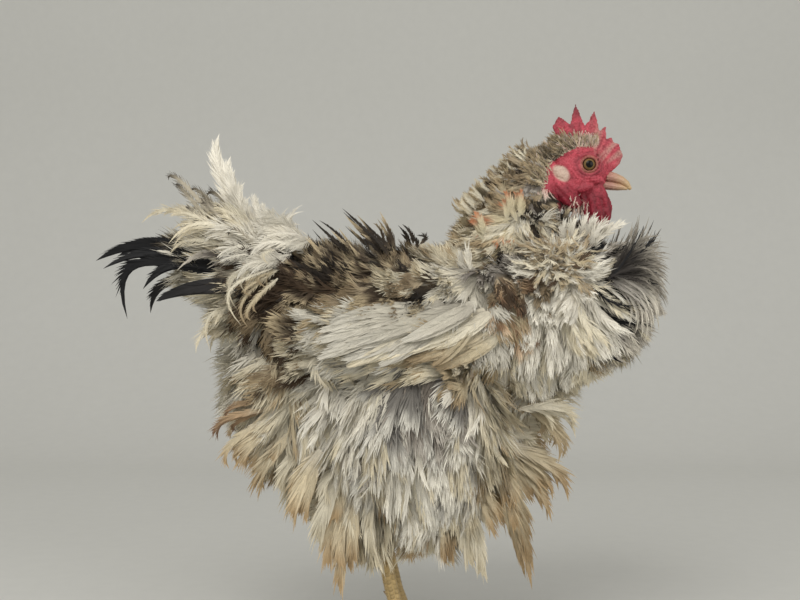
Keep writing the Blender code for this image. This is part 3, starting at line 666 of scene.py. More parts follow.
def pebbled(tree, scale, warp):
    """Papillae: the pebbled relief of bare skin, and a mask of the creases between its pebbles,
    where shade is painted.
    """
    def build(tree, given):
        place = object_place(tree)
        sway = noise(tree, place, 260.0, 2.0)["Color"]
        shift = node(tree, "ShaderNodeVectorMath", {0: sway, 3: given["Warp"]}, operation="SCALE")
        moved = node(tree, "ShaderNodeVectorMath", {0: place, 1: shift.outputs[0]},
                     operation="ADD")
        cells = node(tree, "ShaderNodeTexVoronoi", {"Vector": moved.outputs[0],
                                                    "Scale": given["Scale"]},
                     feature="SMOOTH_F1").outputs["Distance"]
        return {"Height": maths(tree, "SUBTRACT", 1.0, cells),
                "Crease Shade": ranged(tree, cells, .35, .75)}

    shared = shared_group("Papillae", {"Scale": 900.0, "Warp": .0006}, ("Height", "Crease Shade"), build)
    return node(tree, "ShaderNodeGroup", {"Scale": scale, "Warp": warp}, node_tree=shared).outputs


def barbed(tree, colour, lines, depth):
    """Barbs: fine light and dark lines that run along the strands of a vane."""
    def build(tree, given):
        strand = attribute(tree, "strand")["Vector"]
        stretched = node(tree, "ShaderNodeVectorMath", {0: strand, 3: given["Lines"]},
                         operation="SCALE")
        line = noise(tree, stretched.outputs[0], 1.0, 2.0)["Fac"]
        dark = maths(tree, "SUBTRACT", 1.0, given["Depth"])
        return {"Color": shaded(tree, given["Color"], ranged(tree, line, .32, .6, dark, 1.06)),
                "Height": line}

    shared = shared_group("Barbs", {"Color": (1, 1, 1, 1), "Lines": 2.2, "Depth": .25},
                          ("Color", "Height"), build)
    return node(tree, "ShaderNodeGroup", {"Color": colour, "Lines": lines, "Depth": depth},
                node_tree=shared).outputs


# ---------------------------------------------------------------- materials
def feather_material(name, amount, depth, roughness):
    """Feather: the tint on each barb, with fine barb lines and a soft grain."""
    made, tree, shader = material(name, roughness, Specular_IOR_Level=.22, Sheen_Weight=.15,
                                  Sheen_Roughness=.5)
    lines = barbed(tree, attribute(tree, "tint")["Color"], 2.2, depth)
    grain = grained(tree, lines["Color"], 120.0, 1500.0, amount)
    tree.links.new(grain["Color"], shader.inputs["Base Color"])
    bumped(tree, shader, lines["Height"], .0002, .35)
    return made


def skin_material():
    """Skin: red pebbled comb and face with shade painted in the creases between papillae, pale
    lobes, scaled yellow legs, dull under feathers.
    """
    made, tree, shader = material("pebbled_skin", .5, Specular_IOR_Level=.4)
    bare = attribute(tree, "bare")["Fac"]
    grain = grained(tree, attribute(tree, "tint")["Color"], 260.0, 1500.0, .35)
    pebbles = pebbled(tree, 820.0, .0008)
    # painted shade: the creases between the papillae of bare skin are darkened
    dark = mixed(tree, 1.0, grain["Color"], (.62, .38, .42, 1), "MULTIPLY")
    crease = maths(tree, "MULTIPLY", pebbles["Crease Shade"], bare)
    tree.links.new(mixed(tree, crease, grain["Color"], dark), shader.inputs["Base Color"])
    height = maths(tree, "MULTIPLY", pebbles["Height"], bare)
    bumped(tree, shader, maths(tree, "MULTIPLY_ADD", grain["Height"], .25, height), .00035, .7)
    tree.links.new(ranged(tree, grain["Height"], 0.0, 1.0, .42, .68), shader.inputs["Roughness"])
    return made


def scale_material():
    """Leg plates: horny yellow scales with a fine grain."""
    made, tree, shader = material("scaly_leg", .42, Specular_IOR_Level=.4)
    grain = grained(tree, attribute(tree, "tint")["Color"], 420.0, 2600.0, .4)
    tree.links.new(grain["Color"], shader.inputs["Base Color"])
    bumped(tree, shader, grain["Height"], .0001, .5)
    return made


def horn_material(name, base, tip, start, end):
    """Horn: fine growth lines, in a colour that turns to the tip's between two places in x."""
    made, tree, shader = material(name, .35, Coat_Weight=.15, Coat_Roughness=.25)
    place = object_place(tree)
    split = node(tree, "ShaderNodeSeparateXYZ", {0: place})
    along = ranged(tree, split.outputs["X"], start * MM, end * MM)
    stretched = node(tree, "ShaderNodeMapping", {"Vector": place,
                                                 "Scale": (400.0, 2200.0, 2200.0)})
    lines = noise(tree, stretched.outputs[0], 1.0, 4.0)["Fac"]
    run = mixed(tree, along, (*linear(base), 1), (*linear(tip), 1))
    grain = grained(tree, run, 380.0, 1800.0, .28)
    streak = ramp(tree, lines, ((.35, (.72, .66, .6)), (.62, (1, 1, 1))))
    tree.links.new(mixed(tree, 1.0, grain["Color"], streak, "MULTIPLY"),
                   shader.inputs["Base Color"])
    bumped(tree, shader, lines, .00015, .6)
    return made


def eye_material(iris, iris_radius, pupil_radius):
    """Eye: pupil, iris with radial threads, dark rim, under a clear gloss."""
    made, tree, shader = material("clear_eye", .3, Coat_Weight=.22, Coat_Roughness=.05,
                                  Specular_IOR_Level=.08)
    flat = node(tree, "ShaderNodeMapping", {"Vector": object_place(tree),
                                            "Location": (-EYE[0] * MM, 0, -EYE[2] * MM)})
    split = node(tree, "ShaderNodeSeparateXYZ", {0: flat.outputs[0]}).outputs
    disc = node(tree, "ShaderNodeCombineXYZ", {0: split["X"], 2: split["Z"]})
    span = node(tree, "ShaderNodeVectorMath", {0: disc.outputs[0]}, operation="LENGTH")
    share = maths(tree, "DIVIDE", span.outputs["Value"], iris_radius * MM)
    turn = maths(tree, "ARCTAN2", split["Z"], split["X"])
    rays = node(tree, "ShaderNodeCombineXYZ", {0: turn, 1: share})
    threads = noise(tree, rays.outputs[0], 9.0, 4.0, Roughness=.7)["Fac"]
    edge = pupil_radius / iris_radius
    bands = ramp(tree, share, (
        (0.0, (.004, .003, .003)), (edge - .02, (.005, .004, .003)), (edge + .03, iris),
        (.80, tuple(c * 1.25 for c in iris)), (.93, tuple(c * .45 for c in iris)),
        (1.0, (.02, .012, .010))))
    thread = ramp(tree, threads, ((.3, (.55, .5, .45)), (.7, (1.15, 1.1, 1.0))))
    tree.links.new(mixed(tree, 1.0, bands, thread, "MULTIPLY"), shader.inputs["Base Color"])
    return made


# ---------------------------------------------------------------- the skin
# Rounded forms of the face on each side, in mm: name, centre, radii, tilt about y in degrees.
FACE_FORMS = (
    ("brow", (EYE[0] - 1, 11.0, EYE[2] + 7.2), (9.5, 4.4, 2.5), -8),
    ("cheek", (152, 10.8, 345.5), (10, 3.8, 4.2), 12),
    ("gape", (158.5, 7.0, 343.4), (5.0, 2.4, 2.2), 14),
    ("nostril_flap", (161.0, 3.8, 350.6), (4.2, 2.2, 2.4), 18),
    ("lobe_root", (133, 11.2, 348), (6, 3.6, 6), 0),
    ("lobe", (EARLOBE[0], 13.2, EARLOBE[1]), (7.0, 2.7, 4.4), 42),
    ("wattle_fold", (151.0, 7.4, 325), (5.6, 2.2, 13.5), -8),
    ("wattle_curl", (155.5, 10.4, 321), (2.0, 1.7, 12.5), -10),
    ("red_lobe", (132.0, 12.6, 335.5), (7.5, 3.4, 13.5), -38),
    ("red_lobe_tip", (139.0, 12.8, 328.5), (5.5, 2.8, 7.0), -30),
    ("jaw_fold", (146, 11.6, 338), (8.5, 3.0, 3.4), -14),
    ("wattle_root", (155, 6.4, 339.5), (6.5, 3.2, 5), 0),
)


def rippled(points, normals, amount, scale, seed):
    """Moves points along their normals by soft noise; amount may differ from point to point."""
    drift = Vector((seed, seed * 1.7, -seed))
    lift = np.array([relief.noise(Vector(p) / scale + drift) for p in points.tolist()])
    return points + normals * (amount * lift)[:, None]


def remeshed(obj, voxel, factor, rounds):
    """Grows an object's forms together, with a detail in mm, and evens the result."""
    applied(obj, "REMESH", mode="VOXEL", voxel_size=voxel * MM)
    return applied(obj, "SMOOTH", factor=factor, iterations=rounds)


def eye_rings(x, z):
    """Fine rings of folds round the eye, fading away from it."""
    span = np.hypot(x - EYE[0], (z - EYE[2]) * 1.1)
    return np.sin(span * 2.4) * np.exp(-((span - 9) / 5) ** 2)


def wattle_folds(x, z, start, full):
    """The waves of the wattles, from x at start, where they begin, to full."""
    return np.sin(x * 1.15 + z * .22) * ease(-z, -337, -329) * ease(x, start, full)


def head_skin(voxel):
    """The bare head: comb, face, lids, lobes and wattles grown together."""
    parts = [node_copy(n, n + "_flesh") for n in
             ("head", "comb", "wattle_right", "wattle_left", "earlobe_right", "earlobe_left")]
    parts += [ball("comb_root", (146, 0, 364), (23, 4.6, 6)),
              ball("comb_front", (160, 0, 356), (8, 4.2, 5)),
              ball("throat", (150, 0, 337), (15, 8.5, 8)),
              ball("chin", (157, 0, 339.0), (7, 5.4, 4)),
              lofted("collar", ((112, 0, 334, 17, 18, 17), (120, 0, 345, 15, 17, 15),
                                (129, 0, 352, 13, 13, 13)))]
    for name, side in SIDES:
        parts += [lid("lid_" + name, (EYE[0], (EYE[1] + 4.3) * side, EYE[2]), 5.35, 1.15,
                      4 * side, (1.06, 1, .98)),
                  lid("lid_fold_" + name, (EYE[0], (EYE[1] + 4.0) * side, EYE[2]), 7.5, .75,
                      6 * side, (1.12, 1, .96))]
        parts += [ball(f"{form}_{name}", (x, y * side, z), radii, tilt)
                  for form, (x, y, z), radii, tilt in FACE_FORMS]
    obj = remeshed(joined("head_skin", parts), voxel, .5, 3)
    points, normals = arrays(obj.data)
    x, y, z = (points / MM).T
    top, low = ease(z, 360, 366), ease(-z, -338, -330)
    # the comb is pebbled and folded at its root, the wattles hang in soft folds
    points = rippled(points, normals, .00028 * (1 + top), .0013, 3.1)
    points = rippled(points, normals, .00055 * (.35 + .9 * top + 1.2 * low), .0042, 8.3)
    points += normals * (eye_rings(x, z) * .00035 * (1 - top) * (1 - low))[:, None]
    crease = np.sin(x + z) * ease(-z, -345, -338) * ease(-x, -144, -140) * ease(x, 118, 122)
    points += normals * ((wattle_folds(x, z, 145, 148) * .55 + crease * .35) * MM)[:, None]
    # over the eyeball the skin sinks out of sight
    gap = np.hypot(x - EYE[0], z - EYE[2])
    sunk = ease(-gap, -4.9, -4.2) * ease(np.abs(y), 11, 12)
    points[:, 1] -= np.sign(y) * sunk * 2.4 * MM
    set_points(obj.data, points)
    return obj


def body_skin(voxel):
    """The body under the coat: trunk, breast, neck, wings, thighs, belly and tail stump."""
    parts = [lofted("trunk_flesh", TRUNK), lofted("breast_flesh", BREAST),
             lofted("neck_flesh", NECK), lofted("tail_flesh", TAIL_STUMP),
             lofted("belly_flesh", BELLY)]
    for name, side in SIDES:
        parts += [lofted("wing_flesh_" + name, WING, side),
                  lofted("thigh_flesh_" + name, THIGH, side)]
    return remeshed(joined("body_skin", parts), voxel, .6, 5)


def leg_skin(voxel):
    """Shanks and toes, rounded from the solids."""
    parts = [node_copy(n + side, n + side + "_flesh") for n in ("shank_", "foot_")
             for side, _ in SIDES]
    for name, side in SIDES:
        for toe in TOES:
            # a fleshy tip holds the claw's root, which is the end nearest to the foot
            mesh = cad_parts[f"claw_{toe}_{name}"].data
            claw = np.array([v.co / MM for v in mesh.vertices])
            gap = np.hypot(claw[:, 0] - FOOT_HUB[0], claw[:, 1] - FOOT_HUB[1] * side)
            root = claw[gap < gap.min() + 1.5].mean(0)
            parts.append(ball(f"tip_{toe}_{name}", root, (3.3, 3.3, 3.1)))
    obj = remeshed(joined("leg_skin", parts), voxel, .5, 6)
    points, normals = arrays(obj.data)
    points = rippled(points, normals, .00025, .003, 5.5)
    points[:, 2] = np.maximum(points[:, 2], 0)
    set_points(obj.data, points)
    return obj


def tract_weights(points):
    """How much each feather tract counts at each point, points in mm."""
    spots = np.array([(t.x, t.y, t.z) for t in TRACTS], float)
    reach = np.array([t.reach for t in TRACTS], float)
    folded = points * (1, 0, 1) + np.abs(points) * (0, 1, 0)
    gap = np.linalg.norm(folded[:, None] - spots[None], axis=2) / reach
    weight = np.exp(-gap ** 2 * 1.6) + 1e-5 / (gap ** 4 + .1)
    return weight / weight.sum(1, keepdims=True)


def coat_tint():
    """The skin's colour under each tract, as linear light: its quills' mean colour, darkened."""
    return np.array([sum(np.array(linear(STYLES[s][0])) * .55 * n for s, n in t.mix.items())
                     / sum(t.mix.values()) for t in TRACTS])


def bare_face(x, z, above, below, soft, chin, throat):
    """How bare the face is at each point; its back edge leans forward above and below the ear."""
    edge = FACE_BACK + above * ease(z, 352, 360) + below * ease(-z, -336, -326)
    return ease(x - edge, 0, soft) * np.maximum(ease(z, 318, chin),
                                                ease(x, 142, throat) * ease(z, 298, 302))


def skin_tint(points, look):
    """Colour and bareness of the skin at each point, in mm."""
    x, y, z = points.T
    wide = np.abs(y)
    head = bare_face(x, z, 10, 9, 3.5, 326, 146)
    head = np.maximum(head, ease(z, 365, 368) * ease(-wide, -8, -6.5) * ease(x, 110, 112))
    tint = tract_weights(points) @ coat_tint()
    tint = toward(tint, look.comb_red, head)
    tint = toward(tint, look.wattle_red, ease(-z, -344, -330) * head)
    # the comb is veined, dark at its spikes and flushed pale at its root and over the bill
    ahead, up = x - COMB_HUB[0], z - COMB_HUB[1]
    span, turn = np.hypot(ahead, up), np.arctan2(up, ahead)
    comb = ease(span, 20, 24) * ease(z, 364, 370) * head
    veins = clouds(np.stack([turn * 14, span * .09, np.full_like(x, 4.0)], 1))
    tint *= 1 + (comb * veins * .45 + head * clouds(points / 4.5) * .30)[:, None]
    tint *= 1 - .62 * (comb * ease(span, 40, 56))[:, None]
    flush = np.maximum(comb * ease(-span, -38, -24), ease(x, 152, 158) * ease(z, 354, 362) * .8)
    rays = clouds(np.stack([turn * 9, span * .05, np.full_like(x, 9.0)], 1))
    pale = np.array(look.lobe_white)
    tint = toward(tint, pale * .85, flush * (.30 + .7 * rays).clip(0, .8))
    # the earlobe is a pale oval that leans back
    ahead, up = x - EARLOBE[0], z - EARLOBE[1]
    oval = np.hypot((ahead - up) / 1.414 / 7.4, (ahead + up) / 1.414 / 4.9)
    lobe = ease(-oval, -1.2, -.75) * ease(wide, 8, 10)
    tint = toward(tint, pale, lobe)
    # a brown rim round the eye, and round that a ring of painted shade in the crease of the fold
    rim = ease(-np.hypot(x - EYE[0], z - EYE[2]), -7.4, -6.0) * ease(wide, 9, 11)
    tint = toward(tint, (.30, .17, .10), rim * .6)
    span = np.hypot(x - EYE[0], (z - EYE[2]) * 1.1)
    tint *= 1 - (.30 * np.exp(-((span - 9.2) / 1.3) ** 2) * ease(wide, 8, 10))[:, None]
    # painted light and shade on the wattles' folds: lighter on their crests, darker in their
    # troughs
    tint *= 1 + (.25 * np.minimum(wattle_folds(x, z, 142, 146), .4))[:, None]
    tint = toward(tint, look.leg_yellow, ease(-z, -112, -102))
    return tint, np.clip(head * (1 - .6 * lobe), 0, 1)


class CoatRoots:
    """Places for feather roots on the skin."""

    def __init__(self, skin):
        mesh = skin.data
        mesh.calc_loop_triangles()
        corners = fetched(mesh.loop_triangles, "vertices", 3, np.int32)
        loops = fetched(mesh.loop_triangles, "loops", 3, np.int32)
        points, normals = arrays(mesh)
        self.corner = points[corners] / MM
        self.normal = normals[corners]
        self.place = fetched(mesh.uv_layers["OFBake"].data, "uv", 2)[loops]
        self.area = np.linalg.norm(np.cross(self.corner[:, 1] - self.corner[:, 0],
                                            self.corner[:, 2] - self.corner[:, 0]), axis=1) / 2
        self.centre = self.corner.mean(1)
        # the faces in an order that keeps neighbours together: x, y and z's bits in turn
        low, wide = self.centre.min(0), np.ptp(self.centre, axis=0).max()
        cell = np.clip((self.centre - low) / wide * 63, 0, 63).astype(int)
        code = np.zeros(len(cell), int)
        for bit in range(6):
            for axis in range(3):
                code |= ((cell[:, axis] >> bit) & 1) << (3 * bit + axis)
        self.order = np.argsort(code, kind="stable")

    def sow(self, count, weight, rng):
        """Spreads roots evenly by area times weight: points in mm, normals, bake-map places."""
        share = (self.area * weight)[self.order]
        run = np.cumsum(share)
        marks = (np.arange(count) + rng.uniform(0, 1, count)) / count * run[-1]
        face = self.order[np.searchsorted(run, marks)]
        u, v = rng.uniform(0, 1, (2, count))
        flip = u + v > 1
        u[flip], v[flip] = 1 - u[flip], 1 - v[flip]
        w = np.stack([1 - u - v, u, v], 1)[:, :, None]
        return ((self.corner[face] * w).sum(1), unit((self.normal[face] * w).sum(1)),
                (self.place[face] * w).sum(1))


DEEPEST, SKIP = 34, .05  # in mm: the deepest coat, and a step past a face that a ray meets


def coat_depths(points, normals):
    """How far above each root, in mm, the CAD solids of the feathered parts reach."""
    verts, faces = [], []
    for name in ("trunk", "breast", "neck", "belly", "tail", "wing_right", "wing_left",
                 "thigh_right", "thigh_left", "head"):
        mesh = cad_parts[name].data
        base = len(verts)
        verts += [v.co / MM for v in mesh.vertices]
        faces += [[base + i for i in p.vertices] for p in mesh.polygons]
    tree = BVHTree.FromPolygons(verts, faces)
    depths = np.zeros(len(points))
    for i, (p, n) in enumerate(zip(points.tolist(), normals.tolist())):
        start, way, gone = Vector(p), Vector(n), 0.0
        for _ in range(6):
            hit = tree.ray_cast(start, way, DEEPEST - gone)
            if hit[0] is None:
                break
            gone += hit[3] + SKIP
            start = hit[0] + way * SKIP
            if hit[1].dot(way) > 0:
                depths[i] = gone
    return depths


# ---------------------------------------------------------------- feathers
SHAFT_STEPS = 6


def shafts(root, normal, lie, length, lift, curl, droop, sway, rng, steps=SHAFT_STEPS):
    """Shaft lines that leave the skin at lift and curl away from it: points and side vectors."""
    count = len(root)
    side = unit(np.cross(normal, lie))
    line = np.empty((count, steps + 1, 3))
    line[:, 0] = root
    phase = rng.uniform(0, 6.28, count)
    sides = np.empty_like(line)
    for k in range(steps + 1):
        t = k / steps
        angle = lift + curl * t ** 1.4
        way = lie * np.cos(angle)[:, None] + normal * np.sin(angle)[:, None]
        way = way + side * (sway * np.sin(phase + 3.2 * t))[:, None]
        way[:, 2] -= droop * t
        way = unit(way)
        sides[:, k] = unit(side - way * (side * way).sum(1, keepdims=True))
        if k < steps:
            line[:, k + 1] = line[:, k] + way * (length / steps)[:, None]
    return line, sides


def bowed(root, tip, bow, steps):
    """Shaft lines from root to tip, bowed at the middle, with the tip flicked past the bow."""
    root, tip, bow = (np.array(a, float) for a in (root, tip, bow))
    t = np.linspace(0, 1, steps + 1)[None, :, None]
    line = root[:, None] * (1 - t) + tip[:, None] * t
    line = line + bow[:, None] * (4 * t * (1 - t)) * (.6 + .8 * t)
    way = unit(np.gradient(line, axis=1))
    return line, way


def feathers(line, sides, width, fray, colours, place, soft, rng, barbs, blend=.45,
             spread=1.0, slim=1.0, most=.45):
    """Feather meshes on shaft lines: a crowned vane whose edges part into pointed barbs."""
    count, steps = line.shape[0], line.shape[1] - 1
    t = np.linspace(0, 1, steps + 1)
    way = unit(np.gradient(line, axis=1))
    up = np.cross(way, sides)
    long = np.linalg.norm(np.diff(line, axis=1), axis=2).sum(1)

    def outline(at):
        return (at + .03) ** .45 * np.clip(1 - at, 0, 1) ** .75 * 1.7

    half = width[:, None] * .5 * outline(t)[None]
    web = half * (.84 - .72 * fray[:, None]) + .2
    web[:, -1] = .05
    left = line + sides * web[..., None] - up * (web * .22)[..., None]
    right = line - sides * web[..., None] - up * (web * .22)[..., None]
    chance = rng.uniform(0, 60, count)
    run = t[None] * long[:, None]
    flat3 = np.ones((count, steps + 1))
    points = [np.stack([left, line, right], 2).reshape(count, -1, 3)]
    normals = [np.stack([up + sides * .3, up, up - sides * .3], 2).reshape(count, -1, 3)]
    shade = [np.repeat(np.tile(t, (count, 1)), 3, 1)]
    edge = [np.zeros((count, 3 * (steps + 1)))]
    across = [np.tile((-.35, 0, .35), (count, steps + 1))]
    strand = [np.stack([run - 1.8 * web, run, run - 1.8 * web], 2).reshape(count, -1)]
    value = [np.repeat(flat3, 3, 1)]
    faces = []
    for k in range(steps):
        a = 3 * k
        for j in (0, 1):
            faces += [(a + j, a + j + 1, a + j + 4), (a + j, a + j + 4, a + j + 3)]
    base, i = 3 * (steps + 1), np.arange(count)
    for j in range(2 * barbs):
        sign = 1 if j % 2 else -1
        at = .03 + .84 * ((j // 2) + rng.uniform(.1, .9, count)) / barbs
        spot = at * steps
        k = np.clip(spot.astype(int), 0, steps - 1)
        mix = (spot - k)[:, None]
        p = line[i, k] * (1 - mix) + line[i, k + 1] * mix
        w = unit(way[i, k] * (1 - mix) + way[i, k + 1] * mix)
        s = unit(sides[i, k] * (1 - mix) + sides[i, k + 1] * mix)
        n = np.cross(w, s)
        splay = (.52 - .30 * at) * spread * rng.uniform(.6, 1.35, count)
        lateral = width * .5 * outline(np.clip(at + .1, 0, .97))
        reach = lateral * (.75 + .7 * fray) / np.sin(splay) * rng.uniform(.75, 1.2, count) + 1.2
        reach = np.minimum(reach, long * most)
        out = unit(w * np.cos(splay)[:, None] + s * (sign * np.sin(splay))[:, None]
                   + n * (rng.normal(0, .13, count) * (.4 + fray))[:, None])
        thick = (lateral * .15 * (1 - .4 * fray) + .2) * rng.uniform(.6, 1.3, count) * slim
        flat = unit(np.cross(out, n))
        later = unit(out + w * .35 + n * (rng.normal(0, .28, count) * fray)[:, None]
                     - np.array((0, 0, 1.0)) * (.10 * fray)[:, None])
        start = p + s * (sign * lateral * .3)[:, None] + n * rng.uniform(-.2, .25, count)[:, None]
        middle = start + out * (reach * .5)[:, None]
        a = flat * thick[:, None]
        points.append(np.stack([start - a * .8, start + a * .8, middle - a, middle + a,
                                middle + later * (reach * .5)[:, None]], 1))
        normals.append(np.repeat(n[:, None], 5, 1))
        shade.append(np.stack([at, at, at + .09, at + .09, at + .18], 1))
        edge.append(np.tile((0, 0, .45, .45, 1.0), (count, 1)))
        across.append(np.tile(np.array((.1, .1, .3, .3, .5)) * sign, (count, 1)))
        line_at = rng.uniform(0, 90, count)[:, None]
        strand.append(line_at + thick[:, None] * np.array((-1.2, 1.2, -1.2, 1.2, 0)))
        value.append(np.tile(rng.uniform(.90, 1.07, count)[:, None], (1, 5)))
        b = base + 5 * j
        faces += [(b, b + 1, b + 3), (b, b + 3, b + 2), (b + 2, b + 3, b + 4)]
    points, normals, shade, edge, across, strand, value = (
        np.concatenate(x, 1) for x in (points, normals, shade, edge, across, strand, value))
    shade = np.clip(shade, 0, 1)
    root_c, mid_c, tip_c = colours[:, None, 0], colours[:, None, 1], colours[:, None, 2]
    early = ease(shade, .02, .38)[..., None]
    late = ease(shade + .15 * edge, .55, .95)[..., None]
    tint = root_c + (mid_c - root_c) * early
    tint = (tint + (tip_c - tint) * late) * value[..., None]
    patch = place[:, None] + .003 * np.stack([across, shade - .5], 2)
    total = points.shape[1]
    faces = np.array(faces)[None] + (np.arange(count) * total)[:, None, None]
    normals = unit(unit(normals) * (1 - blend) + soft[:, None] * blend)
    lines = np.stack([strand, np.tile(chance[:, None], (1, total)), np.zeros((count, total))], 2)
    return [points.reshape(-1, 3) * MM, faces.reshape(-1, 3), tint.reshape(-1, 3),
            patch.reshape(-1, 2), lines.reshape(-1, 3), normals.reshape(-1, 3)]


def stacked(batches):
    """Joins several feather arrays into one set."""
    base, parts = 0, [[] for _ in range(6)]
    for made in batches:
        for k, values in enumerate(made):
            parts[k].append(values + base if k == 1 else values)
        base += len(made[0])
    return [np.concatenate(p) for p in parts]


def style_colours(names, rng, swing=.08):
    """The three colours of each feather, a little different from feather to feather."""
    table = {key: [linear(c) for c in value] for key, value in STYLES.items()}
    colours = np.array([table[n] for n in names])
    return colours * rng.normal(1, swing, (len(names), 1, 1)).clip(.75, 1.2)


def finish_piece(obj, paint):
    """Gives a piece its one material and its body."""
    obj.data.materials.clear()
    obj.data.materials.append(paint)
    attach(obj, "root")
    return obj


# ---------------------------------------------------------------- settings
class SkinLook(bpy.types.PropertyGroup):
    """The skin's detail and colours"""
    head_voxel: bpy.props.FloatProperty(name="Head voxel", description="Head detail, in mm",
                                        default=.64, min=.3, max=3)
    body_voxel: bpy.props.FloatProperty(name="Body voxel", description="Body detail, in mm",
                                        default=3.4, min=2, max=10)
    leg_voxel: bpy.props.FloatProperty(name="Leg voxel", description="Leg detail, in mm",
                                       default=.9, min=.5, max=3)
    comb_red: bpy.props.FloatVectorProperty(name="Comb red", description="Comb and face colour",
                                            subtype="COLOR", default=(.46, .060, .085))
    wattle_red: bpy.props.FloatVectorProperty(name="Wattle red", description="Wattle colour",
                                              subtype="COLOR", default=(.25, .016, .032))
    lobe_white: bpy.props.FloatVectorProperty(name="Lobe white", description="Earlobe colour",
                                              subtype="COLOR", default=(.60, .45, .36))
    leg_yellow: bpy.props.FloatVectorProperty(name="Leg yellow", description="Shank and toe colour",
                                              subtype="COLOR", default=(.50, .36, .16))


class CoatLook(bpy.types.PropertyGroup):
    """How many feathers, how they gather, and their chance"""
    feather_count: bpy.props.IntProperty(name="Feathers", description="Body feathers in all",
                                         default=14200, min=500, max=20000)
    barbs: bpy.props.IntProperty(name="Barbs", description="Barbs on each side of a body feather",
                                 default=10, min=3, max=16)
    lock_size: bpy.props.IntProperty(name="Lock", description="Feathers that gather in one lock",
                                     default=8, min=1, max=30)
    bristle_count: bpy.props.IntProperty(name="Bristles", description="Bristles on the head",
                                         default=3400, min=100, max=6000)
    seed: bpy.props.IntProperty(name="Seed", description="Start of the feathers' chance", default=7)
    grain: bpy.props.FloatProperty(name="Grain", description="Strength of the colour grain",
                                   default=.28, min=0, max=1, subtype="FACTOR")


class HornLook(bpy.types.PropertyGroup):
    """The beak's colours, as display values"""
    horn: bpy.props.FloatVectorProperty(name="Horn", description="Colour at the base", size=3,
                                        default=(186, 140, 126), min=0, max=255)
    tip: bpy.props.FloatVectorProperty(name="Horn tip", description="Colour at the tip", size=3,
                                       default=(206, 178, 134), min=0, max=255)


class EyeLook(bpy.types.PropertyGroup):
    """The eye's rings"""
    iris: bpy.props.FloatVectorProperty(name="Iris", description="Iris colour", subtype="COLOR",
                                        default=(.20, .13, .055))
    iris_radius: bpy.props.FloatProperty(name="Iris radius", description="In mm", default=4.6)
    pupil_radius: bpy.props.FloatProperty(name="Pupil radius", description="In mm", default=2.7)


class StageLook(bpy.types.PropertyGroup):
    """The stage's colour and lights"""
    wall: bpy.props.FloatVectorProperty(name="Wall", description="Floor and wall colour",
                                        subtype="COLOR", default=(.62, .62, .59))
    key_power: bpy.props.FloatProperty(name="Key light", description="Power of the key light",
                                       default=15.6, unit="POWER")
    fill_power: bpy.props.FloatProperty(name="Fill light", description="Power of the fill light",
                                        default=8.6, unit="POWER")
    sky: bpy.props.FloatProperty(name="Sky", description="Strength of the even light", default=.57)


# ---------------------------------------------------------------- operators
def flesh_nodes():
    """The names of the CAD nodes that the skin replaces."""
    names = ["head", "comb", "neck", "trunk", "breast", "belly", "tail"]
    for side, _ in SIDES:
        names += [n + side for n in ("wattle_", "earlobe_", "wing_", "thigh_", "shank_", "foot_")]
    return names


class COCKEREL_OT_skin(bpy.types.Operator):
    """Grow one skin over head, body and legs"""
    bl_idname = "cockerel.skin"
    bl_label = "Skin"

    def execute(self, context):
        look = context.scene.cockerel_skin
        skin = joined("skin", [body_skin(look.body_voxel), head_skin(look.head_voxel),
                               leg_skin(look.leg_voxel)])
        while skin.data.uv_layers:
            skin.data.uv_layers.remove(skin.data.uv_layers[0])
        skin.data.uv_layers.new(name="OFBake")
        edited(skin, bpy.ops.uv.smart_project, angle_limit=math.radians(75), island_margin=.002)
        tint, bare = skin_tint(arrays(skin.data)[0] / MM, look)
        colour = skin.data.color_attributes.new("tint", "FLOAT_COLOR", "POINT")
        stored(colour.data, "color", opaque(tint))
        mask = skin.data.attributes.new("bare", "FLOAT", "POINT")
        stored(mask.data, "value", bare)
        smooth_shaded(skin)
        finish_piece(skin, skin_material())
        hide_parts(*flesh_nodes())
        return {"FINISHED"}


class COCKEREL_OT_eyes(bpy.types.Operator):
    """Set the two eyes"""
    bl_idname = "cockerel.eyes"
    bl_label = "Eyes"

    def execute(self, context):
        look = context.scene.cockerel_eyes
        paint = eye_material(tuple(look.iris), look.iris_radius, look.pupil_radius)
        for name, side in SIDES:
            centre = np.array((EYE[0], EYE[1] * side, EYE[2]))
            eye = ball("eyeball_" + name, centre, (6.35, 6.35, 6.35))
            applied(eye, "SUBSURF", levels=1, render_levels=1)
            # the clear front of the eye bulges a little from the ball
            away = arrays(eye.data)[0] - centre * MM
            bulge = ease(away[:, 1] * side / np.linalg.norm(away, axis=1), .72, .95)
            reach = (6.3 + .35 * bulge) * MM
            set_points(eye.data, centre * MM + unit(away) * reach[:, None])
            smooth_shaded(eye)
            finish_piece(eye, paint)
            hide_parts("eye_" + name)
        return {"FINISHED"}


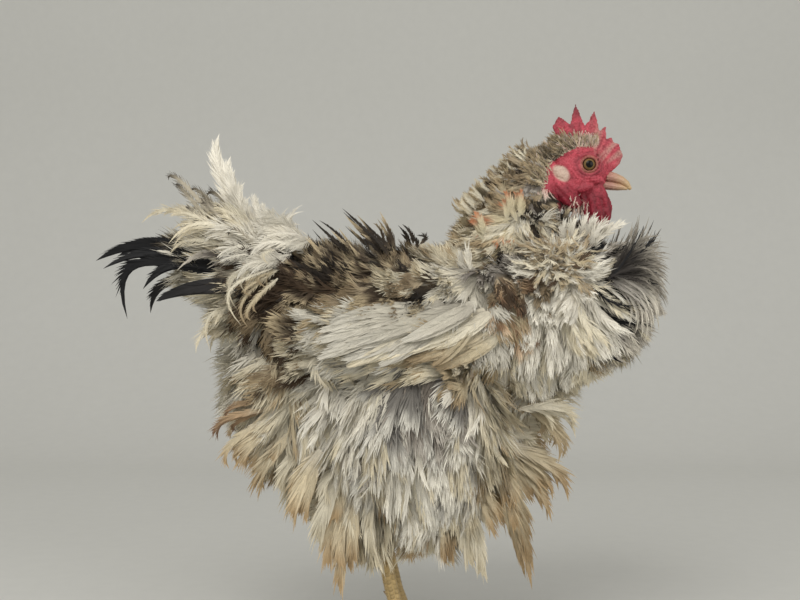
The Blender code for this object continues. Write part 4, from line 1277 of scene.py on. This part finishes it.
class COCKEREL_OT_horn(bpy.types.Operator):
    """Shape the beak, claws and spurs"""
    bl_idname = "cockerel.horn"
    bl_label = "Horn"

    def horn_piece(self, name, voxel, rounds, paint):
        """One node's horn, rounded and a little fuller than the solid."""
        piece = remeshed(node_copy(name, name + "_horn"), voxel, .5, rounds)
        points, normals = arrays(piece.data)
        points = rippled(points, normals, .00006, .0012, 2.0)
        if name == "beak_upper":
            x, y, z = (points / MM).T
            nostril = spot(x, z, (166.5, 348.9), (2.4, .9)) * ease(np.abs(y), 1.5, 2.5)
            points[:, 1] -= np.sign(y) * nostril * 1.1 * MM
        points += normals * (.3 if "beak" in name else .25 if "claw" in name else 0) * MM
        if name == "beak_lower":
            # its tip rises to the upper half, so that the bill is closed
            points[:, 2] += (.35 + ease(points[:, 0] / MM, 167, 180)) * MM
        points[:, 2] = np.maximum(points[:, 2], 0)
        set_points(piece.data, points)
        smooth_shaded(piece)
        finish_piece(piece, paint)
        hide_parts(name)

    def execute(self, context):
        look = context.scene.cockerel_horn
        beak = horn_material("beak_horn", tuple(look.horn), tuple(look.tip), 168, 182)
        claw = horn_material("claw_horn", (172, 148, 112), (150, 126, 96), 0, 80)
        self.horn_piece("beak_upper", .32, 6, beak)
        self.horn_piece("beak_lower", .32, 6, beak)
        for side, _ in SIDES:
            for toe in TOES:
                self.horn_piece(f"claw_{toe}_{side}", .3, 4, claw)
            self.horn_piece("spur_" + side, .35, 4, claw)
        return {"FINISHED"}


# Leg plates, in mm and degrees: the shank's axis, each toe's length and turn, and the rows round
# the shank by their middle angle, half angle and pitch.
SHANK_LINE = ((-9, 36, 97), (-6, 35, 90), (2, 33, 56), (9, 31, 26), (12.6, 30, 12))
TOE_LINES = ((58, 3), (41, -26), (45, 38), (24, 180))
SHANK_ROWS = ((-33, 35, 3.6), (33, 35, 3.6), (-96, 26, 2.7), (96, 26, 2.7),
              (-146, 23, 2.4), (146, 23, 2.4))
TOE_PITCH, TOE_LIFT = 2.7, .55
PLATE_ACROSS = 7
# A plate's rows of points: the share of its length and the height over the skin, in mm.
PLATE_ROWS = ((0, -.4), (.3, .28), (.72, .62), (.96, .45), (1.0, -.25))
PLATE_POINTS = PLATE_ACROSS * len(PLATE_ROWS)
PROBE = 14  # how far from the leg's axis the skin is looked for


def scute_paths(side):
    """Rows of plates: axis line, the way they face, pitch, middle and half angle, shift, lift."""
    shank = np.array(SHANK_LINE) * (1, side, 1)
    rows = [(shank, np.array((1.0, 0, .2)), pitch, middle, half, .5 * (middle > 0), 1.0)
            for middle, half, pitch in SHANK_ROWS]
    for length, turn in TOE_LINES:
        a = math.radians(turn)
        reach = np.array((math.cos(a), math.sin(a) * side, 0))
        start = np.array((FOOT_HUB[0], FOOT_HUB[1] * side, 3.6))
        line = np.stack([start + reach * 7, start + reach * (length - 1.5)])
        rows.append((line, np.array((0, 0, 1.0)), TOE_PITCH, 0, 60, 0, TOE_LIFT))
    return rows


def plate_point(tree, line, run, facing, turn, at, raised):
    """A point over the skin at a place along an axis line, looked for at a turn round it."""
    at = min(at, run[-1])
    k = min(int(np.searchsorted(run, at, side="right")) - 1, len(line) - 2)
    step = np.linalg.norm(line[k + 1] - line[k])
    ahead = (line[k + 1] - line[k]) / step
    axis = line[k] + ahead * (at - run[k])
    front = unit(facing - ahead * facing.dot(ahead))
    way = front * math.cos(turn) + np.cross(ahead, front) * math.sin(turn)
    hit = tree.ray_cast(Vector(axis + way * PROBE), Vector(-way), PROBE)
    reach = PROBE - hit[3] if hit[0] is not None else 3.0
    x, y, z = axis + way * (reach + raised)
    return x, y, max(z, .05)


class COCKEREL_OT_scutes(bpy.types.Operator):
    """Lay overlapping plates down the shanks and along the toes"""
    bl_idname = "cockerel.scutes"
    bl_label = "Leg scales"

    def plates(self, tree, yellow, rng):
        """The plates' points, colours and strands."""
        points, tint, strand = [], [], []
        for line, facing, pitch, middle, half, shift, lift in (
                row for _, side in SIDES for row in scute_paths(side)):
            run = np.r_[0, np.cumsum(np.linalg.norm(np.diff(line, axis=0), axis=1))]
            for n in range(int(run[-1] / pitch - shift)):
                tone = yellow * rng.uniform(.82, 1.12)
                for v, rise in PLATE_ROWS:
                    for u in np.linspace(-1, 1, PLATE_ACROSS):
                        at = (n + shift + v * 1.3 - .3 * v * u * u) * pitch
                        raised = lift * rise * (1 - .3 * u * u) if abs(u) < .9 else -.3
                        points.append(plate_point(tree, line, run, facing,
                                                  math.radians(middle + half * u), at, raised))
                        tint.append(tone * (1.05 - .25 * v * v) * (1 - .12 * abs(u)))
                        strand.append((u * 3, n * 7.0, v))
        return np.array(points), np.array(tint), np.array(strand)

    def execute(self, context):
        look = context.scene.cockerel_skin
        rng = np.random.default_rng(5)
        skin = bpy.data.objects["skin"]
        roots = CoatRoots(skin)
        verts = [v.co / MM for v in skin.data.vertices]
        legs = [list(p.vertices) for p in skin.data.polygons if verts[p.vertices[0]].z < 112]
        points, tint, strand = self.plates(BVHTree.FromPolygons(verts, legs),
                                           np.array(look.leg_yellow), rng)
        patch, faces = np.zeros((len(points), 2)), []
        for base in range(0, len(points), PLATE_POINTS):
            middle = points[base + PLATE_POINTS // 2]
            patch[base:base + PLATE_POINTS] = (skin_place(roots, [middle])
                                               + rng.uniform(-.0012, .0012, (PLATE_POINTS, 2)))
            for j in range(len(PLATE_ROWS) - 1):
                for i in range(PLATE_ACROSS - 1):
                    a = base + PLATE_ACROSS * j + i
                    b = a + PLATE_ACROSS
                    faces += [(a, a + 1, b + 1), (a, b + 1, b)]
        faces = np.array(faces)
        corner = points[faces]
        flat = np.cross(corner[:, 1] - corner[:, 0], corner[:, 2] - corner[:, 0])
        normals = np.zeros_like(points)
        for k in range(3):
            np.add.at(normals, faces[:, k], flat)
        made = [points * MM, faces, tint, patch, strand, unit(normals)]
        finish_piece(triangle_mesh("leg_plates", made), scale_material())
        return {"FINISHED"}


# Triangles in one piece of the coat, and how widely each group's barbs part, where it differs
# from the rest.
PIECE_TRIANGLES = 190000
GROUP_SPREAD = {"belly": .55, "rear": .7, "wing": .6}


class COCKEREL_OT_coat(bpy.types.Operator):
    """Cover the skin with separate curled feathers"""
    bl_idname = "cockerel.coat"
    bl_label = "Body coat"

    def execute(self, context):
        look = context.scene.cockerel_coat
        rng = np.random.default_rng(look.seed)
        roots = CoatRoots(bpy.data.objects["skin"])
        x, _, z = roots.centre.T
        bare = np.maximum(bare_face(x, z, 11, 11, 2, 324, 145), ease(-z, -108, -103))
        bare = np.maximum(bare, ease(z, 366, 369))
        density = tract_weights(roots.centre) @ np.array([t.density for t in TRACTS])
        root, normal, place = roots.sow(look.feather_count, density * np.clip(1 - bare, 0, 1), rng)
        count = len(root)

        def chance(low=0, high=1):
            return rng.uniform(low, high, count)

        weights = tract_weights(root)
        length, width, fray, curl = (weights @ np.array([(t.length, t.width, t.fray, t.curl)
                                                         for t in TRACTS])).T
        sharp = weights ** 2
        sharp /= sharp.sum(1, keepdims=True)
        pick = (np.cumsum(sharp, 1) < rng.uniform(0, 1, (count, 1))).sum(1)
        pick = pick.clip(0, len(TRACTS) - 1)
        # feathers gather into locks: each follows the nearest leader, in colour and in lean
        leaders = rng.permutation(count)[:count // look.lock_size]
        finder = KDTree(len(leaders))
        for n, k in enumerate(leaders):
            finder.insert(root[k], n)
        finder.balance()
        lead = np.array([leaders[finder.find(p)[1]] for p in root])
        lead = np.where(root[lead, 1] * root[:, 1] > 0, lead, np.arange(count))
        pick = np.where(chance() < .75, pick[lead], pick)
        # the lie of the coat: each tract's own way, or away from the whorl on the breast
        hub = np.array(BREAST_HUB) * np.where(root[:, 1:2] < 0, (1, -1, 1), (1, 1, 1))
        away = unit(root - hub)
        lie = np.zeros_like(root)
        for k, tract in enumerate(TRACTS):
            way = away if tract.lie == "hub" else unit(np.array(tract.lie, float))[None]
            lie += weights[:, k:k + 1] * way
        whorl = np.exp(-(np.linalg.norm(root - hub, axis=1) / 19) ** 2)[:, None]
        lie = unit(lie) * (1 - .8 * whorl) + rng.normal(0, .30, lie.shape)[lead] * (1 + 2 * whorl)
        lie = laid(lie + rng.normal(0, .10, lie.shape) * (1 + 3 * whorl), normal)
        depth = np.maximum(coat_depths(root, normal), 4)
        length = length * chance(.82, 1.12)[lead] * chance(.8, 1.08)
        share = .35 + .65 * (.6 * chance()[lead] + .4 * chance())
        curl = curl * chance(.6, 1.25)[lead] * chance(.85, 1.15)
        lift = np.arcsin(np.clip(share * depth / length, .05, .9)) - curl * .35
        droop = np.where(root[:, 2] < 210, .30, .10) * chance(.5, 1.5)
        line, sides = shafts(root, normal, lie, length, np.clip(lift, .04, 1.0), curl, droop,
                             rng.normal(0, .22, count)[lead], rng)
        pull = (.5 * np.linspace(0, 1, line.shape[1]) ** 1.2)[None, :, None]
        line = line * (1 - pull) + line[lead] * pull
        # no feather stands further out than the solids do
        rise = ((line - root[:, None]) * normal[:, None]).sum(2)
        room = share * depth * 1.12 + 1.5
        press = np.minimum(1, room / np.maximum(rise.max(1), 1e-6))
        line = line - normal[:, None] * (rise * (1 - press[:, None]))[..., None]
        width = width * chance(.75, 1.15)
        fray = np.clip(fray + rng.normal(0, .08, count), .05, .95)
        names = []
        for k in pick:
            mix = TRACTS[k].mix
            odds = np.array(list(mix.values()), float)
            names.append(list(mix)[int(rng.choice(len(mix), p=odds / odds.sum()))])
        same = chance() < .6
        names = [names[lead[n]] if same[n] and pick[lead[n]] == pick[n] else names[n]
                 for n in range(count)]
        colours = style_colours(names, rng)
        paint = feather_material("barbed_feather", look.grain, .28, .85)
        groups = np.array([TRACTS[k].group for k in pick])
        most = PIECE_TRIANGLES // (4 * SHAFT_STEPS + 6 * look.barbs)
        for name in sorted(set(groups)):
            for word, side in SIDES:
                rows = np.flatnonzero((groups == name) & (root[:, 1] * side > 0))
                for part, start in enumerate(range(0, len(rows), most), 1):
                    some = rows[start:start + most]
                    made = feathers(line[some], sides[some], width[some], fray[some],
                                    colours[some], place[some], normal[some], rng, look.barbs,
                                    spread=GROUP_SPREAD.get(name, .85))
                    finish_piece(triangle_mesh(f"coat_{name}_{word}_{part}", made),
                                 paint)
        return {"FINISHED"}


class COCKEREL_OT_bristles(bpy.types.Operator):
    """Set the bristles on the crown and ears and the short curls of the breast"""
    bl_idname = "cockerel.bristles"
    bl_label = "Bristles"

    def head_bristles(self, look, roots, rng):
        """Fine bristles that lean back from the comb's foot and down at the throat."""
        x, y, z = roots.centre.T
        wide = np.abs(y)
        crown = (ease(z - 357 - 11 * ease(x, 120, 147), 0, 3) * ease(-z, -375, -371)
                 * ease(x, 113, 117) * ease(-x, -161, -154) * ease(wide, .6, 2.0))
        ear = spot(x, z, (116, 348), (3, 9)) * ease(wide, 8, 11) * .6
        throat = spot(x, z, (143, 327), (6, 5)) * .06
        root, normal, place = roots.sow(look.bristle_count, crown + ear + throat, rng)
        count = len(root)
        x, y, z = root.T
        front, low = ease(x, 132, 150), ease(-z, -342, -335)
        back = np.array((-.8, 0, .55))
        lie = back + (np.array((-.05, 0, 1.0)) - back) * front[:, None]
        lie = toward(lie, (-.2, 0, -1.0), low)
        lie = laid(unit(lie + rng.normal(0, .22, lie.shape)), normal)
        length = (12.5 - 5 * front) * rng.uniform(.6, 1.15, count)
        line, sides = shafts(root, normal, lie, length, rng.uniform(.15, .55, count),
                             rng.uniform(-.1, .9, count), np.full(count, .05),
                             rng.normal(0, .2, count), rng, 4)
        picks = rng.uniform(0, 1, count) + .55 * front
        names = ["blush" if l > .5 else "tan" if p < .3 else "olive" if p < .5 else "buff"
                 if p < .85 else "grey" if p < .97 else "blush" for p, l in zip(picks, low)]
        made = feathers(line, sides, (1.5 - .8 * front) * rng.uniform(.7, 1.2, count),
                        np.full(count, .8), style_colours(names, rng), place, normal, rng, 3,
                        slim=.55)
        finish_piece(triangle_mesh("bristles", made),
                     feather_material("bristle_feather", look.grain, .2, .8))

    def breast_whorl(self, look, roots, rng):
        """The mop of short curls on each side of the breast."""
        x, y, z = roots.centre.T
        mop = spot(x, z, (121, 280), (11, 9)) * ease(np.abs(y), 28, 38)
        root, normal, place = roots.sow(560, mop, rng)
        count = len(root)
        depth = np.maximum(coat_depths(root, normal), 6)
        lie = laid(unit(rng.normal(0, 1, root.shape) + np.array((-.2, 0, -.3))), normal)
        start = root + normal * (depth * rng.uniform(.35, .72, count))[:, None]
        line, sides = shafts(start, normal, lie, rng.uniform(14, 22, count),
                             rng.uniform(-.1, .2, count), rng.uniform(.3, 1.5, count),
                             np.full(count, .35), rng.normal(0, .5, count), rng)
        names = rng.choice(["buff", "tan", "tan_edge", "chocolate", "cream", "pearl"], count,
                           p=(.34, .16, .05, .05, .24, .16))
        made = feathers(line, sides, rng.uniform(3.0, 5.4, count), np.full(count, .6),
                        style_colours(names, rng), place, normal, rng, 5, slim=.8)
        finish_piece(triangle_mesh("breast_whorl", made),
                     feather_material("whorl_feather", look.grain, .28, .85))

    def execute(self, context):
        look = context.scene.cockerel_coat
        rng = np.random.default_rng(look.seed + 2)
        roots = CoatRoots(bpy.data.objects["skin"])
        self.head_bristles(look, roots, rng)
        self.breast_whorl(look, roots, rng)
        return {"FINISHED"}


def skin_place(roots, spots):
    """The bake-map place of the skin nearest to each spot, in mm."""
    index = [int(np.argmin(((roots.centre - s) ** 2).sum(1))) for s in np.array(spots, float)]
    return roots.place[index].mean(1)


def nape_spikes(rng):
    """Short thin feathers that stand up from the nape, one behind another."""
    rows = []
    for k in range(46):
        t = k / 45
        for side in (-1, 1):
            x, y, z = 62 + 50 * t, rng.uniform(1, 19 - 10 * t) * side, 318 + 44 * t
            reach = rng.uniform(11, 17)
            dark = int(rng.integers(5)) if t > .3 else 2 + 2 * int(rng.integers(2))
            name = ("tan_edge", "olive", "buff", "tan", "cream")[dark]
            rows.append((name, (x, y, z), (x - .74 * reach + rng.normal(0, 2), y * 1.15,
                                           z + .66 * reach + rng.normal(0, 2)),
                         (-1.5, 0, 2.5 * rng.uniform(-1, 1)), rng.uniform(2.4, 4.2), .6))
    return rows


def ruff_fan(rng):
    """Long thin strands that fan out from the ruff's middle: dark above, pale below."""
    rows = []
    for x, y, share in ((168, 8, 1.0), (167, 20, 1.0), (165, 31, .98), (162, 43, .94),
                        (158, 54, .90)):
        for k in range(20):
            turn = math.radians(66 - 136 * k / 19 + rng.normal(0, 3))
            c, s = math.cos(turn), math.sin(turn)
            reach = (42 + 11 * abs(s) ** 1.3) * share * rng.uniform(.86, 1.03)
            loose = turn > .75
            arch, width = (-2, 1.8) if loose else (7, 3.4)
            name = "black" if loose and k % 2 else "fan" if turn > -.65 else "ruff_pale"
            for side in (-1, 1):
                rows.append((name, (x, y * side, RUFF_HUB_Z),
                             (x + reach * c, y * 1.1 * side, RUFF_HUB_Z + reach * s),
                             (-arch * s, 3 * side, arch * c), width, .7))
    return rows


def mirrored(rows, fray, shift):
    """Rows of feathers given this fray, and the same on the other side, shifted a little."""
    rows = [(*row, fray) for row in rows]
    return rows + [(n, (r[0] - shift, -r[1], r[2]), (t[0] - shift, -t[1], t[2] + shift),
                    (b[0], -b[1], b[2]), *rest) for n, r, t, b, *rest in rows]


class COCKEREL_OT_long_feathers(bpy.types.Operator):
    """Set the tail's plumes and the long feathers that hang below"""
    bl_idname = "cockerel.long_feathers"
    bl_label = "Long feathers"

    def clump(self, rows, copies, scatter, roots, rng, barbs, steps=10, **options):
        """Each named feather and a few shorter ones beside it."""
        names, start, end, bows, widths, frays = [], [], [], [], [], []
        for name, root, tip, bow, width, fray in rows:
            root, tip, bow = (np.array(a, float) for a in (root, tip, bow))
            for k in range(copies):
                loose = scatter * (k > 0)
                short = 1 - .13 * k * rng.uniform(.5, 1.3)
                foot = root + rng.normal(0, 1, 3) * loose * .8
                names.append(name)
                start.append(foot)
                end.append(foot + (tip - root) * short + rng.normal(0, 1, 3) * loose)
                bows.append(bow * short + rng.normal(0, 1, 3) * loose * .5)
                widths.append(width * rng.uniform(.8, 1.05) * (1 - .08 * k))
                frays.append(fray)
        start = np.array(start)
        line, way = bowed(start, end, bows, steps)
        out = np.zeros_like(start)
        out[:, 1] = np.where(start[:, 1] > 0, 1, -1)
        out[:, 2] = .3
        out = unit(out + rng.normal(0, .2, out.shape))
        return feathers(line, unit(np.cross(out[:, None], way)), np.array(widths),
                        np.array(frays), style_colours(names, rng, .05), skin_place(roots, start),
                        out, rng, barbs, **options)

    def execute(self, context):
        look = context.scene.cockerel_coat
        rng = np.random.default_rng(look.seed + 1)
        roots = CoatRoots(bpy.data.objects["skin"])
        paint = feather_material("long_feather", look.grain, .25, .62)

        def piece(name, made, slot="pale_feather"):
            finish_piece(triangle_mesh(name, stacked(made)), paint)

        soft = [(*row[:4], row[4] * .62, row[5]) for row in TAIL_MASS]
        piece("tail_plumes", [
            self.clump(TAIL_FEATHERS, 1, 2.0, roots, rng, 44, 16, spread=.5, blend=.3, most=.13),
            self.clump(PLUME, 2, 2.4, roots, rng, 44, 14, spread=1.0, most=.2),
            self.clump(soft, 7, 5.0, roots, rng, 30, 12, spread=1.35, slim=.5, most=.27)])
        piece("hanging_feathers", [
            self.clump(mirrored(HANGING, .30, 2), 4, 4.6, roots, rng, 24, spread=.6)])
        piece("back_curls", [self.clump(mirrored(SPIKES, .25, 3), 3, 3.0, roots, rng, 14)],
              "dark_feather")
        piece("wing_blades", [self.clump(mirrored(WING_BLADES, .02, 0), 2, 1.6, roots, rng, 36, 12,
                                         spread=.45, blend=.78, most=.16)])
        piece("ruff_fan", [
            self.clump(mirrored(THROAT, .6, 1), 4, 3.0, roots, rng, 12),
            self.clump(ruff_fan(rng), 2, 2.0, roots, rng, 10, spread=.6, slim=.6, most=.3),
            self.clump(nape_spikes(rng), 2, 2.0, roots, rng, 8, 8, slim=.6, most=.3)])
        return {"FINISHED"}


class COCKEREL_OT_stage(bpy.types.Operator):
    """Set the pale floor and wall, the soft lights and the camera"""
    bl_idname = "cockerel.stage"
    bl_label = "Stage"

    def shape_edges(self, obj, picked, operator, **values):
        """Runs one operator on the edges whose two ends are both picked."""
        bpy.ops.object.mode_set(mode="EDIT")
        bpy.ops.mesh.select_all(action="DESELECT")
        bpy.ops.object.mode_set(mode="OBJECT")
        for vert in obj.data.vertices:
            vert.select = picked(vert.co)
        for edge in obj.data.edges:
            edge.select = all(obj.data.vertices[i].select for i in edge.vertices)
        bpy.ops.object.mode_set(mode="EDIT")
        operator(**values)
        bpy.ops.object.mode_set(mode="OBJECT")

    def lamp(self, name, place, size, power, colour):
        """A round soft light that faces the bird."""
        alone()
        bpy.ops.object.light_add(type="AREA", location=place)
        light = bpy.context.object
        light.name = name
        light.data.shape = "DISK"
        light.data.size = size
        light.data.energy = power
        light.data.color = colour
        light.visible_camera = False
        aim = Vector((0, 0, .2)) - Vector(place)
        light.rotation_euler = aim.to_track_quat("-Z", "Y").to_euler()

    def execute(self, context):
        look = context.scene.cockerel_stage
        alone()
        bpy.ops.mesh.primitive_plane_add(size=6, location=(0, -1.4, 0))
        sweep = context.object
        sweep.name = "sweep"
        placed(sweep)
        context.tool_settings.mesh_select_mode = (False, True, False)
        self.shape_edges(sweep, lambda p: p.y > WALL_START, bpy.ops.mesh.extrude_region_move,
                         TRANSFORM_OT_translate={"value": (0, 0, 3.2)})
        self.shape_edges(sweep, lambda p: p.y > WALL_START and abs(p.z) < .01,
                         bpy.ops.mesh.bevel, offset=.7, segments=24, affect="EDGES")
        smooth_shaded(sweep)
        paint, tree, shader = material("plain_sweep", .9, Specular_IOR_Level=.1)
        grain = grained(tree, (*look.wall, 1), 3.0, 60.0, .05)
        tree.links.new(grain["Color"], shader.inputs["Base Color"])
        sweep.data.materials.append(paint)
        self.lamp("key_light", (-.5, -1.3, 1.5), 1.3, look.key_power, (1, .985, .95))
        self.lamp("fill_light", (1.2, -1.3, .7), 1.4, look.fill_power, (1, .99, .97))
        world = bpy.data.worlds.new("even_light")
        context.scene.world = world
        world.use_nodes = True
        sky = world.node_tree.nodes["Background"]
        sky.inputs["Color"].default_value = (1, .985, .95, 1)
        sky.inputs["Strength"].default_value = look.sky
        alone()
        bpy.ops.object.camera_add(location=CAMERA_PLACE, rotation=(math.pi / 2, 0, 0))
        camera = context.object
        camera.data.sensor_width = SENSOR_WIDTH
        camera.data.lens = FOCAL_LENGTH
        camera.data.clip_start = .02
        context.scene.camera = camera
        context.scene.view_settings.view_transform = "Standard"
        return {"FINISHED"}


class COCKEREL_PT_sidebar(bpy.types.Panel):
    """The cockerel's pieces"""
    bl_idname = "COCKEREL_PT_sidebar"
    bl_label = "Cockerel"
    bl_space_type = "VIEW_3D"
    bl_region_type = "UI"
    bl_category = "Cockerel"

    def draw(self, context):
        for kind in OPERATORS:
            self.layout.operator(kind.bl_idname)


# The operators in the order in which they run; the coat's three grow on the finished skin.
OPERATORS = (COCKEREL_OT_stage, COCKEREL_OT_skin, COCKEREL_OT_eyes, COCKEREL_OT_horn,
             COCKEREL_OT_scutes, COCKEREL_OT_coat, COCKEREL_OT_bristles,
             COCKEREL_OT_long_feathers)
SETTINGS = (("cockerel_skin", SkinLook), ("cockerel_coat", CoatLook), ("cockerel_horn", HornLook),
            ("cockerel_eyes", EyeLook), ("cockerel_stage", StageLook))
CLASSES = (*(kind for _, kind in SETTINGS), *OPERATORS, COCKEREL_PT_sidebar)


def register():
    """Adds the classes and the scene's settings."""
    for kind in CLASSES:
        bpy.utils.register_class(kind)
    for name, kind in SETTINGS:
        setattr(bpy.types.Scene, name, bpy.props.PointerProperty(type=kind))


def unregister():
    """Takes them away again."""
    for name, _ in SETTINGS:
        delattr(bpy.types.Scene, name)
    for kind in reversed(CLASSES):
        bpy.utils.unregister_class(kind)


def main():
    """Makes every piece."""
    register()
    for kind in OPERATORS:
        family, word = kind.bl_idname.split(".")
        getattr(getattr(bpy.ops, family), word)()
    alone()


if __name__ == "__main__":
    main()
